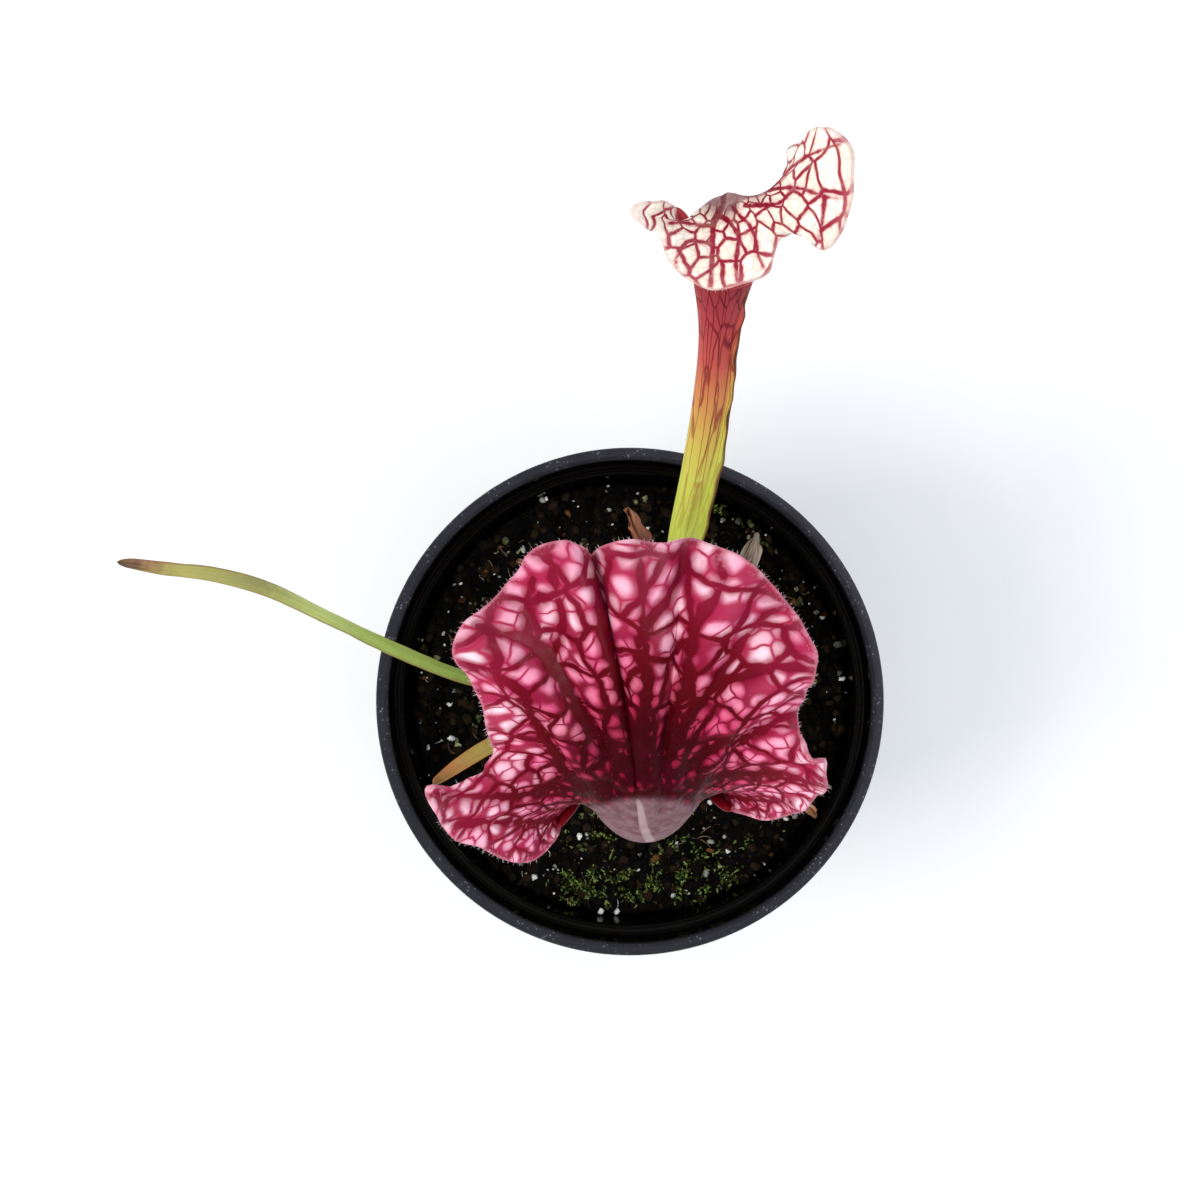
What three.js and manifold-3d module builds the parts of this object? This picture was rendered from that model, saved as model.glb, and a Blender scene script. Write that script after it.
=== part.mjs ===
// A pitcher plant in a round nursery pot.
// Millimetres, +Z up, the origin at the middle of the pot's underside.
// The pot holds soil, the rhizome sits in the soil, and every leaf stands in a
// plain hole in the rhizome. Two leaves are pitchers: a hollow tube with a wing
// down its front, a rolled lip and a waved hood that arches over the mouth.
import * as THREE from 'three';
import { mergeVertices } from 'three/addons/utils/BufferGeometryUtils.js';
import Module from 'manifold-3d';

// ---------------------------------------------------------------- dimensions
const CLEARANCE = 0.3; // air between two pieces that touch

const POT = {
  rimRadius: 45,
  height: 80,
  lipWidth: 2,
  collarBottom: 71, // underside of the collar, and the stacking ledge inside it
  ledgeRadius: 40.4, // inner radius under the ledge
  wall: 1.3,
  footRadius: 31,
  floor: 1.8,
  sides: 48,
};
// drainage holes: [count, radius of their ring, hole radius]
const DRAIN_HOLES = [
  [8, 22, 3.25],
  [4, 10.5, 2.5],
];

const SOIL = {
  level: 66.6, // mean height of the surface
  sides: 44,
  rings: 13,
  mound: 1.6, // extra height towards the crown
  clods: 0.85, // height of the lumps
  seed: 7,
};

const CROWN = {
  x: 3.5,
  y: 2.5,
  top: 71,
  radius: 9.5,
  holeFloor: 64.5, // floor of the holes that the leaves stand in
  sides: 36,
};
const LEAF_FOOT = CROWN.holeFloor + CLEARANCE;
const PITCHER_WALL = 0.8;
const SETTLING_ROUNDS = 5;
const PUCKER = 0.5; // the tissue bulges so far between the strong veins
const PITCHER_FOOT = LEAF_FOOT + PITCHER_WALL / 2;

// Large pitcher. Spine points run from the foot to the middle of the mouth as
// [x, y, z, half width, half depth].
const PITCHER_FRONT = {
  spine: [
    [3.0, -2.0, PITCHER_FOOT, 2.3, 2.3],
    [3.0, -2.0, 74, 2.3, 2.4],
    [3.4, -1.5, 92, 2.7, 2.9],
    [3.4, -1.6, 112, 3.5, 3.8],
    [2.8, -2.4, 132, 4.4, 4.8],
    [2.1, -3.8, 150, 5.4, 5.9],
    [1.5, -5.2, 166, 6.6, 7.1],
    [0.9, -6.2, 180, 7.4, 7.9],
  ],
  backDirection: [0, -1, 0],
  holeRadius: 2.7,
  rows: 15,
  wing: [0.0, 0.0, 1.2, 2.4, 2.8, 2.9, 2.2, 0.0], // wing height from foot to lip
  wingDegrees: 180, // where the wing grows from the tube, from the back
  wingLean: 180, // and the way that it points
  frontDegrees: [[108, 126, 144], [216, 234, 252]], // columns round the front half, beside the wing
  backRise: 6.5, // how far the back of the mouth stands over its middle
  frontDrop: 3.5, // and how far the front lip lies under it
  neckRise: [3, 13], // how far the hood climbs before it bends, at sides and back
  neckLean: 2.4, // how far the neck leans in over the mouth
  middle: [0.8, 3],
  // where the hood's rays fan out from, from its left side to its right
  focus: [[-3, -3], [-1, 2], [0.8, 3], [3, 2], [5, -3]],
  reach: 0.42,
  crown: 2.5,
  ripple: 0.4,
  settled: [0.4, 0.75],
  lastRay: 0.81, // beyond this the hood is a plain fan from each corner of the mouth
  hoodRows: [3, 5, 5], // rows with 20, 40 and 80 columns
  // the strong veins seen from above, each with its half width at its two ends
  veins: [
    { half: [0.95, 0.45], path: [[-0.5, -3.5], [-2.5, 5.5], [-4.7, 12.9], [-6.3, 23.2]] },
    { half: [0.95, 0.45], path: [[-1.1, -4.1], [-7.5, 3.3], [-11.7, 10.3], [-14.6, 12.9], [-20.7, 14.6]] },
    { half: [0.55, 0.25], path: [[-11.5, 9.7], [-10.2, 14], [-10.4, 17.7], [-11.7, 24]] },
    { half: [0.5, 0.25], path: [[-14.6, 12.9], [-14.8, 17], [-13.6, 20.5]] },
    { half: [0.9, 0.35], path: [[-4.5, -6.5], [-9.1, -5], [-12.7, 1.4], [-16.5, 7.8], [-22.6, 9.9]] },
    { half: [0.7, 0.3], path: [[-5.5, -7.5], [-10.4, -6.6], [-18.7, -7.6], [-25.9, -7.3]] },
    { half: [0.6, 0.25], path: [[-6, -9.5], [-12, -11.5], [-18, -11], [-24, -11.5]] },
    { half: [0.8, 0.3], path: [[0.5, -3.5], [0.6, 6.5], [-0.2, 13.1], [3.7, 19.3], [5.6, 25.2]] },
    { half: [0.45, 0.25], path: [[-0.2, 13.1], [0.1, 17.5], [-1, 24.6]] },
    { half: [0.8, 0.35], path: [[1.6, -3.2], [5.4, 6.5], [6.5, 14.1], [9.6, 19.3], [9.9, 24]] },
    { half: [0.85, 0.3], path: [[3, -3.5], [7.5, 5.5], [13.3, 8.7], [18.1, 9.7], [21.9, 9.4]] },
    { half: [0.5, 0.25], path: [[9, 6.6], [12.2, 12.6], [16.5, 16.6], [18.8, 17.4]] },
    { half: [0.75, 0.3], path: [[4.7, -4.5], [9, -0.9], [13.3, 0.4], [19, 3.4], [20.4, 3.6]] },
    { half: [0.7, 0.3], path: [[5.9, -6], [13.3, -4.6], [20.9, -5], [24, -5.6]] },
    { half: [0.6, 0.25], path: [[6.5, -7.5], [13, -8.4], [20, -8.6]] },
  ],
  // margin of the hood between the two corners of the mouth, from the left round to the right
  margin: [
    [-7.6, -7.9, 182.6], [-9.0, -9.8, 185.2], [-10.3, -11.9, 186.8], [-11.2, -14.2, 187.4],
    [-12.7, -15.9, 187.8],
    [-15.3, -17.1, 190.0], [-18.6, -16.3, 192.0], [-21.4, -14.4, 195.0], [-24.3, -13.4, 197.0],
    [-26.3, -10.5, 200.0], [-27.4, -6.4, 203.0], [-24.1, -5.9, 201.0], [-21.0, -5.4, 198.0],
    [-19.0, -3.0, 195.0], [-19.8, 0.5, 200.0], [-20.4, 4.2, 204.0], [-21.9, 8.3, 206.0],
    [-23.9, 11.1, 210.0], [-22.6, 14.9, 211.0], [-19.2, 17.7, 208.0], [-16.5, 20.8, 206.0],
    [-13.5, 24.5, 210.0], [-9.7, 25.5, 211.0], [-7.8, 24.6, 208.5], [-6.6, 23.7, 206.0],
    [-5.3, 24.7, 208.5], [-1.6, 25.6, 212.0], [2.5, 25.2, 210.0], [6.2, 25.9, 206.5],
    [9.2, 24.8, 210.0], [12.8, 23.2, 212.0], [16.9, 19.5, 208.0], [20.0, 15.5, 208.0],
    [21.9, 11.1, 211.0], [21.6, 7.6, 207.0], [20.2, 4.3, 201.0], [20.5, 0.6, 203.0],
    [22.2, -2.2, 205.0], [24.4, -5.7, 199.0], [22.7, -8.7, 194.0], [20.1, -10.7, 190.0],
    [16.9, -11.6, 188.0], [14.3, -11.0, 187.2], [12.2, -10.2, 186.4], [10.6, -9.0, 184.8],
    [9.3, -7.6, 182.4],
  ],
};

// Smaller pitcher, leaning out over the rim.
const PITCHER_BACK = {
  spine: [
    [7.0, 7.0, PITCHER_FOOT, 1.7, 1.7],
    [7.0, 7.0, 71.5, 1.7, 1.7],
    [7.0, 8.2, 75.5, 1.7, 1.8],
    [7.3, 14.5, 86, 1.7, 1.9],
    [8.1, 27.5, 107, 1.9, 2.1],
    [10.1, 39.0, 129, 2.2, 2.4],
    [11.5, 49.0, 149, 2.5, 2.7],
    [11.7, 57.5, 165, 2.6, 2.9],
    [12.0, 66.8, 179, 4.9, 5.4],
  ],
  backDirection: [0, 1, 0],
  holeRadius: 2.1,
  rows: 14,
  wing: [0.0, 0.1, 0.9, 1.7, 2.1, 2.0, 1.2, 1.3, 0.0],
  wingDegrees: 225,
  wingLean: 250,
  frontDegrees: [[108, 132, 156, 180], [258]],
  backRise: 4.0,
  frontDrop: 1.0,
  neckRise: [1.5, 4.5],
  neckLean: 0.6,
  middle: [12, 70],
  focus: [[17, 72.5], [17, 72.5], [13.5, 70.5], [11, 69.5], [9, 70.5]],
  reach: 0.4,
  crown: 1.2,
  ripple: 0.4,
  settled: [0, 0.1],
  lastRay: 0.61,
  hoodRows: [2, 4],
  veins: [
    { half: [0.5, 0.32], path: [[12, 72.6], [10.3, 69.2], [9.8, 65.6], [9.6, 60.6]] },
    { half: [0.35, 0.28], path: [[11, 70.4], [12.6, 68.6], [13.5, 66.6], [13.1, 63.4], [13.4, 61.2]] },
    { half: [0.3, 0.18], path: [[12.9, 71.4], [15, 68.6], [16.1, 65.6], [16.8, 63]] },
    { half: [0.3, 0.18], path: [[10.1, 68.6], [6.4, 69], [3.6, 68.6]] },
    { half: [0.3, 0.2], path: [[9.8, 66.3], [6.6, 66.5], [5.2, 64.4], [5, 63]] },
    { half: [0.3, 0.2], path: [[13.5, 72.2], [17.6, 73], [21.4, 72.4], [24.2, 71], [26.6, 70.6]] },
    { half: [0.3, 0.18], path: [[14.5, 71.4], [18.4, 71], [20.4, 72.5]] },
    { half: [0.3, 0.18], path: [[17.6, 73], [20.2, 75.4], [23.2, 76.8], [26, 77.4]] },
    { half: [0.28, 0.18], path: [[24.2, 71], [24, 68.6], [23.8, 66]] },
  ],
  margin: [
    [18.6, 68.6, 180.6], [19.6, 70.8, 181.8], [20.2, 73.6, 182.8], [20.4, 76.6, 184.2],
    [20.1, 79.0, 186.0],
    [22.0, 79.4, 187.6], [22.6, 80.2, 190.0], [23.2, 80.4, 194.0], [24.9, 79.2, 199.0],
    [27.4, 76.4, 200.0], [27.6, 72.0, 199.0], [26.9, 67.5, 197.0], [25.5, 64.9, 194.0],
    [23.8, 64.6, 192.0], [22.4, 67.3, 191.0], [21.6, 67.6, 190.6], [20.6, 67.4, 188.6],
    [18.8, 66.6, 186.5], [18.0, 64.2, 186.0], [17.6, 62.3, 186.0], [14.8, 61.0, 186.0],
    [10.3, 60.0, 185.0], [6.9, 61.2, 185.5], [4.2, 63.6, 186.0], [3.1, 66.4, 187.0],
    [2.8, 68.2, 188.0], [0.9, 67.7, 189.5], [-0.8, 69.5, 192.0], [0.7, 71.0, 191.0],
    [3.1, 71.6, 188.9], [4.4, 71.4, 186.6], [5.4, 70.6, 184.2], [6.2, 69.0, 181.8],
  ],
};

// Plain leaves: spine points [x, y, z, half width, half thickness, twist in degrees]
const PHYLLODE = {
  holeRadius: 1.5,
  rows: 34,
  columns: 10,
  keel: 0.25,
  wave: 0.25,
  spine: [
    [-2.0, 4.0, LEAF_FOOT, 1.3, 1.3, 0],
    [-2.0, 4.0, 71.5, 1.3, 1.3, 0],
    [-2.7, 3.9, 75.2, 1.35, 1.1, 4],
    [-6.5, 3.3, 80.5, 1.5, 0.85, 12],
    [-15.5, 2.7, 88.5, 1.25, 0.6, 22],
    [-27.5, 4.6, 96, 1.15, 0.45, 28],
    [-40.9, 10.3, 106, 1.3, 0.42, 30],
    [-49.5, 15.0, 115, 1.5, 0.42, 34],
    [-57.5, 19.4, 124, 1.2, 0.42, 8],
    [-66.0, 22.1, 131, 1.4, 0.4, -28],
    [-73.5, 23.0, 136.5, 1.2, 0.38, -42],
    [-79.4, 23.8, 140, 0.95, 0.45, -50],
  ],
};
const OLIVE_LEAF = {
  holeRadius: 1.4,
  rows: 22,
  columns: 10,
  keel: 0.25,
  wave: 0.3,
  spine: [
    [-2.0, -0.8, LEAF_FOOT, 1.2, 1.2, 0],
    [-2.0, -0.8, 71.5, 1.2, 1.2, 0],
    [-2.7, -0.9, 75.5, 1.25, 1.0, 4],
    [-6.4, -1.5, 82.5, 1.4, 0.75, 8],
    [-13.0, -2.8, 90, 1.6, 0.5, 16],
    [-22.5, -6.0, 98, 1.35, 0.42, 20],
    [-28.7, -9.5, 103, 1.2, 0.4, 10],
    [-33.2, -12.7, 105.5, 0.6, 0.4, -10],
  ],
};
const DRIED_BROWN = {
  holeRadius: 1.4,
  rows: 20,
  columns: 10,
  keel: 0.2,
  wave: 0.7,
  spine: [
    [2.2, 7.8, LEAF_FOOT, 1.2, 1.2, 0],
    [2.2, 7.8, 71.5, 1.2, 1.2, 0],
    [2.2, 8.6, 75, 1.25, 1.0, 5],
    [2.6, 13.0, 81, 1.3, 0.7, 15],
    [3.2, 20.0, 87, 1.5, 0.5, 30],
    [2.4, 26.6, 93, 1.9, 0.45, 45],
    [0.8, 31.0, 96, 1.8, 0.42, 58],
    [-1.2, 34.4, 96.5, 1.0, 0.4, 66],
  ],
};
const DRIED_PAPERY = {
  holeRadius: 1.4,
  rows: 20,
  columns: 10,
  keel: 0.2,
  wave: 0.6,
  spine: [
    [10.0, 3.2, LEAF_FOOT, 1.2, 1.2, 0],
    [10.0, 3.2, 71.5, 1.2, 1.2, 0],
    [10.4, 3.8, 75, 1.25, 1.0, 4],
    [12.6, 7.2, 80.5, 1.3, 0.7, 10],
    [16.0, 13.5, 86, 1.5, 0.5, 20],
    [19.0, 21.5, 92, 1.8, 0.42, 10],
    [20.6, 26.0, 95, 1.6, 0.4, -20],
    [21.6, 30.0, 96.5, 1.0, 0.4, -50],
  ],
};
const DRIED_TAN = {
  holeRadius: 1.4,
  rows: 20,
  columns: 10,
  keel: 0.2,
  wave: 0.5,
  spine: [
    [8.5, -1.8, LEAF_FOOT, 1.2, 1.2, 0],
    [8.5, -1.8, 71.5, 1.2, 1.2, 0],
    [9.1, -2.2, 74.8, 1.25, 1.0, -4],
    [13.0, -4.9, 78.8, 1.35, 0.7, -10],
    [19.0, -8.8, 82, 1.5, 0.5, -20],
    [25.5, -13.6, 85.5, 1.5, 0.42, 0],
    [30.0, -17.4, 87.5, 1.2, 0.4, 30],
    [33.0, -20.0, 88.5, 0.6, 0.4, 50],
  ],
};
const BLADES = {
  phyllode_left: PHYLLODE,
  leaf_olive: OLIVE_LEAF,
  dried_leaf_brown: DRIED_BROWN,
  dried_leaf_papery: DRIED_PAPERY,
  dried_leaf_tan: DRIED_TAN,
};

// ------------------------------------------------------------------- helpers
const wasm = await Module();
wasm.setup();
const TURN = Math.PI * 2;
const UP = new THREE.Vector3(0, 0, 1);

function smooth(low, high, x) {
  const t = Math.min(1, Math.max(0, (x - low) / (high - low)));
  return t * t * (3 - 2 * t);
}

function random(seed) {
  let state = seed;
  return () => {
    state = (state * 1664525 + 1013904223) % 4294967296;
    return state / 4294967296;
  };
}

function geometryOf(points, triangles) {
  const geometry = new THREE.BufferGeometry();
  const flat = points.flatMap((p) => [p.x, p.y, p.z]);
  geometry.setAttribute('position', new THREE.Float32BufferAttribute(flat, 3));
  geometry.setIndex(triangles.flat());
  geometry.computeVertexNormals();
  return geometry;
}

function solidOf(geometry) {
  const bare = geometry.clone();
  bare.deleteAttribute('normal');
  bare.deleteAttribute('uv');
  const merged = mergeVertices(bare, 1e-4);
  return new wasm.Manifold(
    new wasm.Mesh({
      numProp: 3,
      vertProperties: new Float32Array(merged.attributes.position.array),
      triVerts: new Uint32Array(merged.index.array),
    }),
  );
}

function geometryFromSolid(solid) {
  const mesh = solid.getMesh();
  const geometry = new THREE.BufferGeometry();
  const positions = new THREE.BufferAttribute(mesh.vertProperties, 3);
  geometry.setAttribute('position', positions);
  geometry.setIndex(new THREE.BufferAttribute(mesh.triVerts, 1));
  geometry.computeVertexNormals();
  return geometry;
}

function lathe(profile, sides) {
  const points = profile.map(([r, z]) => new THREE.Vector2(r, z));
  return new THREE.LatheGeometry(points, sides).rotateX(Math.PI / 2);
}

function plug(x, y, radius, bottom, top, sides = 20) {
  const geometry = new THREE.CylinderGeometry(radius, radius, top - bottom, sides);
  return geometry.rotateX(Math.PI / 2).translate(x, y, (top + bottom) / 2);
}

// A smooth curve through rows of numbers: at(t) gives the row at t from 0 to 1.
function track(rows) {
  const curves = [];
  for (let k = 0; k < rows[0].length; k += 3) {
    const points = rows.map((r) => new THREE.Vector3(r[k], r[k + 1] ?? 0, r[k + 2] ?? 0));
    curves.push(new THREE.CatmullRomCurve3(points, false, 'catmullrom', 0.5));
  }
  return (t) => curves.flatMap((c) => c.getPoint(t).toArray());
}

// --------------------------------------------------------------- pot and soil
function innerRadius(z) {
  const t = (z - POT.floor) / (POT.collarBottom - POT.floor);
  return THREE.MathUtils.lerp(POT.footRadius - POT.wall, POT.ledgeRadius, t);
}

function potGeometry() {
  const rim = POT.rimRadius;
  const top = POT.height;
  const ledge = POT.collarBottom + POT.wall;
  const profile = [
    [0, 0],
    [POT.footRadius - 1, 0],
    [POT.footRadius, 1],
    [POT.ledgeRadius + POT.wall, POT.collarBottom - 0.6],
    [rim - 1.0, POT.collarBottom],
    [rim - 0.6, POT.collarBottom + 0.7],
    [rim, top - 1.0],
    [rim - 0.3, top - 0.3],
    [rim - 0.9, top],
    [rim - POT.lipWidth + 0.2, top - 0.2],
    [rim - POT.lipWidth, top - 0.7],
    [rim - POT.lipWidth - 0.5, ledge + 0.6],
    [rim - POT.lipWidth - 1.0, ledge],
    [POT.ledgeRadius + 0.5, ledge - 0.3],
    [POT.ledgeRadius, ledge - 1.0],
    [innerRadius(POT.floor + 1), POT.floor + 1],
    [innerRadius(POT.floor) - 1, POT.floor],
    [0, POT.floor],
  ];
  let pot = solidOf(lathe(profile, POT.sides));
  for (const [count, ring, radius] of DRAIN_HOLES) {
    for (let k = 0; k < count; k += 1) {
      const a = (TURN * (k + 0.5)) / count;
      const hole = plug(ring * Math.cos(a), ring * Math.sin(a), radius, -1, POT.floor + 1, 16);
      pot = pot.subtract(solidOf(hole));
    }
  }
  return geometryFromSolid(pot);
}

// Height of the soil: a low mound round the crown, clods and grains.
const clodDraw = random(SOIL.seed);
const CLOD_WAVES = Array.from({ length: 14 }, () => ({
  angle: TURN * clodDraw(),
  length: 5 + 9 * clodDraw(),
  phase: TURN * clodDraw(),
}));

function soilHeight(x, y) {
  const away = Math.hypot(x - CROWN.x, y - CROWN.y);
  let height = SOIL.level + SOIL.mound * (1 - smooth(8, 26, away));
  for (const wave of CLOD_WAVES) {
    const along = x * Math.cos(wave.angle) + y * Math.sin(wave.angle);
    height += 0.3 * SOIL.clods * Math.sin((TURN * along) / wave.length + wave.phase);
  }
  return height;
}

function crownProfile(extra) {
  const r = CROWN.radius;
  return [
    [0, 26 - extra],
    [2.2 + extra, 27 - extra],
    [3.6 + extra, 40],
    [6.4 + extra, 50],
    [r + extra, 58],
  ];
}

function soilGeometry() {
  const points = [];
  const triangles = [];
  const bottom = POT.floor + CLEARANCE;
  const n = SOIL.sides;
  const edge = SOIL.level + 1.6;
  const wallRadius = (z) => innerRadius(z) - CLEARANCE - 0.1;
  points.push(new THREE.Vector3(0, 0, soilHeight(0, 0)));
  for (let i = 1; i <= SOIL.rings; i += 1) {
    for (let j = 0; j < n; j += 1) {
      const a = (TURN * j) / n;
      const r = (wallRadius(edge - 2.6) * i) / SOIL.rings;
      const x = r * Math.cos(a);
      const y = r * Math.sin(a);
      points.push(new THREE.Vector3(x, y, soilHeight(x, y)));
    }
  }
  const sideRows = [0.75, 0.5, 0.25, 0.02];
  for (const t of sideRows) {
    for (let j = 0; j < n; j += 1) {
      const a = (TURN * j) / n;
      const z = THREE.MathUtils.lerp(bottom, edge, t);
      const r = wallRadius(z);
      points.push(new THREE.Vector3(r * Math.cos(a), r * Math.sin(a), z));
    }
  }
  for (let j = 0; j < n; j += 1) {
    const a = (TURN * j) / n;
    const r = wallRadius(bottom) - 1.2;
    points.push(new THREE.Vector3(r * Math.cos(a), r * Math.sin(a), bottom));
  }
  points.push(new THREE.Vector3(0, 0, bottom));
  const rows = SOIL.rings + sideRows.length + 1;
  const at = (i, j) => 1 + (i - 1) * n + (j % n);
  for (let j = 0; j < n; j += 1) {
    triangles.push([0, at(1, j), at(1, j + 1)]);
    for (let i = 1; i < rows; i += 1) {
      triangles.push([at(i, j), at(i + 1, j), at(i + 1, j + 1)]);
      triangles.push([at(i, j), at(i + 1, j + 1), at(i, j + 1)]);
    }
    triangles.push([points.length - 1, at(rows, j + 1), at(rows, j)]);
  }
  const pit = lathe([...crownProfile(CLEARANCE), [CROWN.radius + CLEARANCE, 90], [0, 90]], CROWN.sides);
  pit.translate(CROWN.x, CROWN.y, 0);
  return geometryFromSolid(solidOf(geometryOf(points, triangles)).subtract(solidOf(pit)));
}

// The rhizome: old leaf bases overlap round it like scales.
function rhizomeGeometry() {
  const r = CROWN.radius;
  const top = CROWN.top;
  const profile = [
    ...crownProfile(0),
    [r, 62],
    [r - 0.5, 63.2],
    [r, 64.4],
    [r - 0.5, 66],
    [r - 0.1, 67.2],
    [r - 0.7, 68.6],
    [r - 0.9, 69.6],
    [r - 2.4, top],
    [0, top],
  ];
  const body = lathe(profile, CROWN.sides);
  body.translate(CROWN.x, CROWN.y, 0);
  let solid = solidOf(body);
  const leaves = [PITCHER_FRONT, PITCHER_BACK, ...Object.values(BLADES)];
  for (const leaf of leaves) {
    const [x, y] = leaf.spine[0];
    const hole = plug(x, y, leaf.holeRadius + CLEARANCE, CROWN.holeFloor, top + 2);
    solid = solid.subtract(solidOf(hole));
  }
  return geometryFromSolid(solid);
}

// -------------------------------------------------------------------- blades
// A leaf blade: rings of points round a spine, the ring flattening from the
// round foot to a blade with a keel, its edges waved and its tip closed.
function bladeGeometry({ spine, rows, columns, keel, wave }) {
  const at = track(spine);
  const points = [];
  const triangles = [];
  const last = new THREE.Vector3();
  for (let i = 0; i <= rows; i += 1) {
    const t = i / rows;
    const [x, y, z, width, thick, twist] = at(t);
    const ahead = at(Math.min(1, t + 1e-3));
    const behind = at(Math.max(0, t - 1e-3));
    const along = new THREE.Vector3(...ahead.slice(0, 3)).sub(new THREE.Vector3(...behind.slice(0, 3)));
    along.normalize();
    // the blade lies across the way it leans, turned by its twist
    const lean = new THREE.Vector3(spine.at(-1)[0] - spine[0][0], spine.at(-1)[1] - spine[0][1], 0);
    const side = new THREE.Vector3().crossVectors(UP, lean.normalize());
    side.addScaledVector(along, -side.dot(along)).normalize();
    side.applyAxisAngle(along, THREE.MathUtils.degToRad(twist));
    const face = new THREE.Vector3().crossVectors(along, side);
    const flat = smooth(0.12, 0.4, t);
    for (let j = 0; j < columns; j += 1) {
      const a = (TURN * j) / columns;
      const across = Math.cos(a);
      const ripple = flat * wave * Math.abs(across) ** 3 * Math.sin(t * 23 + (across > 0 ? 0 : 1.9));
      const ridge = flat * keel * Math.max(0, 1 - 2.2 * Math.abs(across)) * (Math.sin(a) > 0 ? 1 : 0.4);
      const p = new THREE.Vector3(x, y, z);
      p.addScaledVector(side, across * width);
      p.addScaledVector(face, Math.sin(a) * (thick + ridge) + ripple);
      points.push(p);
    }
    last.set(x, y, z);
  }
  const ring = (i, j) => i * columns + (j % columns);
  for (let i = 0; i < rows; i += 1) {
    for (let j = 0; j < columns; j += 1) {
      triangles.push([ring(i, j), ring(i, j + 1), ring(i + 1, j + 1)]);
      triangles.push([ring(i, j), ring(i + 1, j + 1), ring(i + 1, j)]);
    }
  }
  points.push(new THREE.Vector3(...spine[0].slice(0, 3)), last);
  for (let j = 0; j < columns; j += 1) {
    triangles.push([points.length - 2, ring(0, j + 1), ring(0, j)]);
    triangles.push([points.length - 1, ring(rows, j), ring(rows, j + 1)]);
  }
  return geometryOf(points, triangles);
}

// ------------------------------------------------------------------ pitchers
const BACK_SEGMENTS = 10; // columns round the back half of the tube
const WING_ROOT = 0.8; // half width of the wing where it leaves the tube
const WING_EDGE = 0.35; // and at its edge
// the lip from the top of the tube, as [outwards, upwards]: rolled at the front, flared at the sides
const LIP_ROLL = [
  [0.5, 0.7],
  [1.3, 1.0],
  [2.1, 0.5],
  [2.3, -0.5],
];
const LIP_FLARE = [
  [0.2, 0.5],
  [0.5, 1.0],
  [0.9, 1.4],
  [1.4, 1.7],
];

function tubeFrame(shape) {
  const at = track(shape.spine);
  const back = new THREE.Vector3(...shape.backDirection);
  return (t) => {
    const [x, y, z, width, depth] = at(t);
    const ahead = at(Math.min(1, t + 1e-3));
    const behind = at(Math.max(0, t - 1e-3));
    const along = new THREE.Vector3(...ahead.slice(0, 3)).sub(new THREE.Vector3(...behind.slice(0, 3)));
    along.normalize();
    const out = back.clone().addScaledVector(along, -back.dot(along)).normalize();
    const side = new THREE.Vector3().crossVectors(along, out);
    return { centre: new THREE.Vector3(x, y, z), along, out, side, width, depth };
  };
}

// A point of the tube's middle surface: t from foot to mouth, angle from the back.
function tubePoint(shape, frame, t, degrees) {
  const { centre, along, out, side, width, depth } = frame(t);
  const a = THREE.MathUtils.degToRad(degrees);
  const slope = smooth(0.72, 1, t);
  const rise = Math.cos(a) > 0 ? shape.backRise * Math.cos(a) : shape.frontDrop * Math.cos(a);
  const radial = side.clone().multiplyScalar(Math.sin(a) * width);
  radial.addScaledVector(out, Math.cos(a) * depth);
  return centre.add(radial).addScaledVector(along, rise * slope);
}

// Columns round the tube at t, in degrees from the back, the wing's four among them.
function columnDegrees(shape, frame, t) {
  const backs = Array.from({ length: BACK_SEGMENTS + 1 }, (_, k) => -90 + (180 * k) / BACK_SEGMENTS);
  const { width } = frame(t);
  const root = THREE.MathUtils.radToDeg(Math.asin(WING_ROOT / width));
  const edge = THREE.MathUtils.radToDeg(Math.asin(WING_EDGE / width));
  const wing = [-root, -edge, edge, root].map((degrees) => shape.wingDegrees + degrees);
  return [...backs, ...shape.frontDegrees[0], ...wing, ...shape.frontDegrees[1]];
}

// The margin as a curve, and the share of it, from -1 to 1, that belongs to each column.
function marginOf(shape, frame) {
  const corners = [-90, 90].map((degrees) => tubePoint(shape, frame, 1, degrees));
  const points = [corners[0], ...shape.margin.map((p) => new THREE.Vector3(...p)), corners[1]];
  const curve = new THREE.CatmullRomCurve3(points, false, 'catmullrom', 0.5);
  const lengths = [0];
  for (let i = 1; i < points.length; i += 1) {
    lengths.push(lengths[i - 1] + points[i].distanceTo(points[i - 1]));
  }
  const total = lengths.at(-1);
  const angles = [0];
  for (let i = 1; i < points.length; i += 1) {
    const a = Math.atan2(points[i].y - shape.middle[1], points[i].x - shape.middle[0]);
    const b = Math.atan2(points[i - 1].y - shape.middle[1], points[i - 1].x - shape.middle[0]);
    let step = b - a;
    if (step > Math.PI) step -= TURN;
    if (step < -Math.PI) step += TURN;
    angles.push(angles[i - 1] + Math.abs(step));
  }
  const share = points.map((_, i) => (0.5 * lengths[i]) / total + (0.5 * angles[i]) / angles.at(-1));
  const shareCurve = track(share.map((s) => [s]));
  const samples = Array.from({ length: 2001 }, (_, i) => shareCurve(i / 2000)[0]);
  const smoothed = (u) => {
    // mean height of the margin near u
    let sum = 0;
    for (let k = -3; k <= 3; k += 1) {
      sum += at(THREE.MathUtils.clamp(u + k * 0.05, -1, 1)).z;
    }
    return sum / 7;
  };
  function at(u) {
    const wanted = (u + 1) / 2;
    let i = 1;
    while (i < 2000 && samples[i] < wanted) i += 1;
    const step = samples[i] - samples[i - 1];
    const part = THREE.MathUtils.clamp((wanted - samples[i - 1]) / (step || 1), 0, 1);
    return curve.getPoint(Math.min(1, (i - 1 + part) / 2000));
  }
  return { at, smoothed };
}

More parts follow.
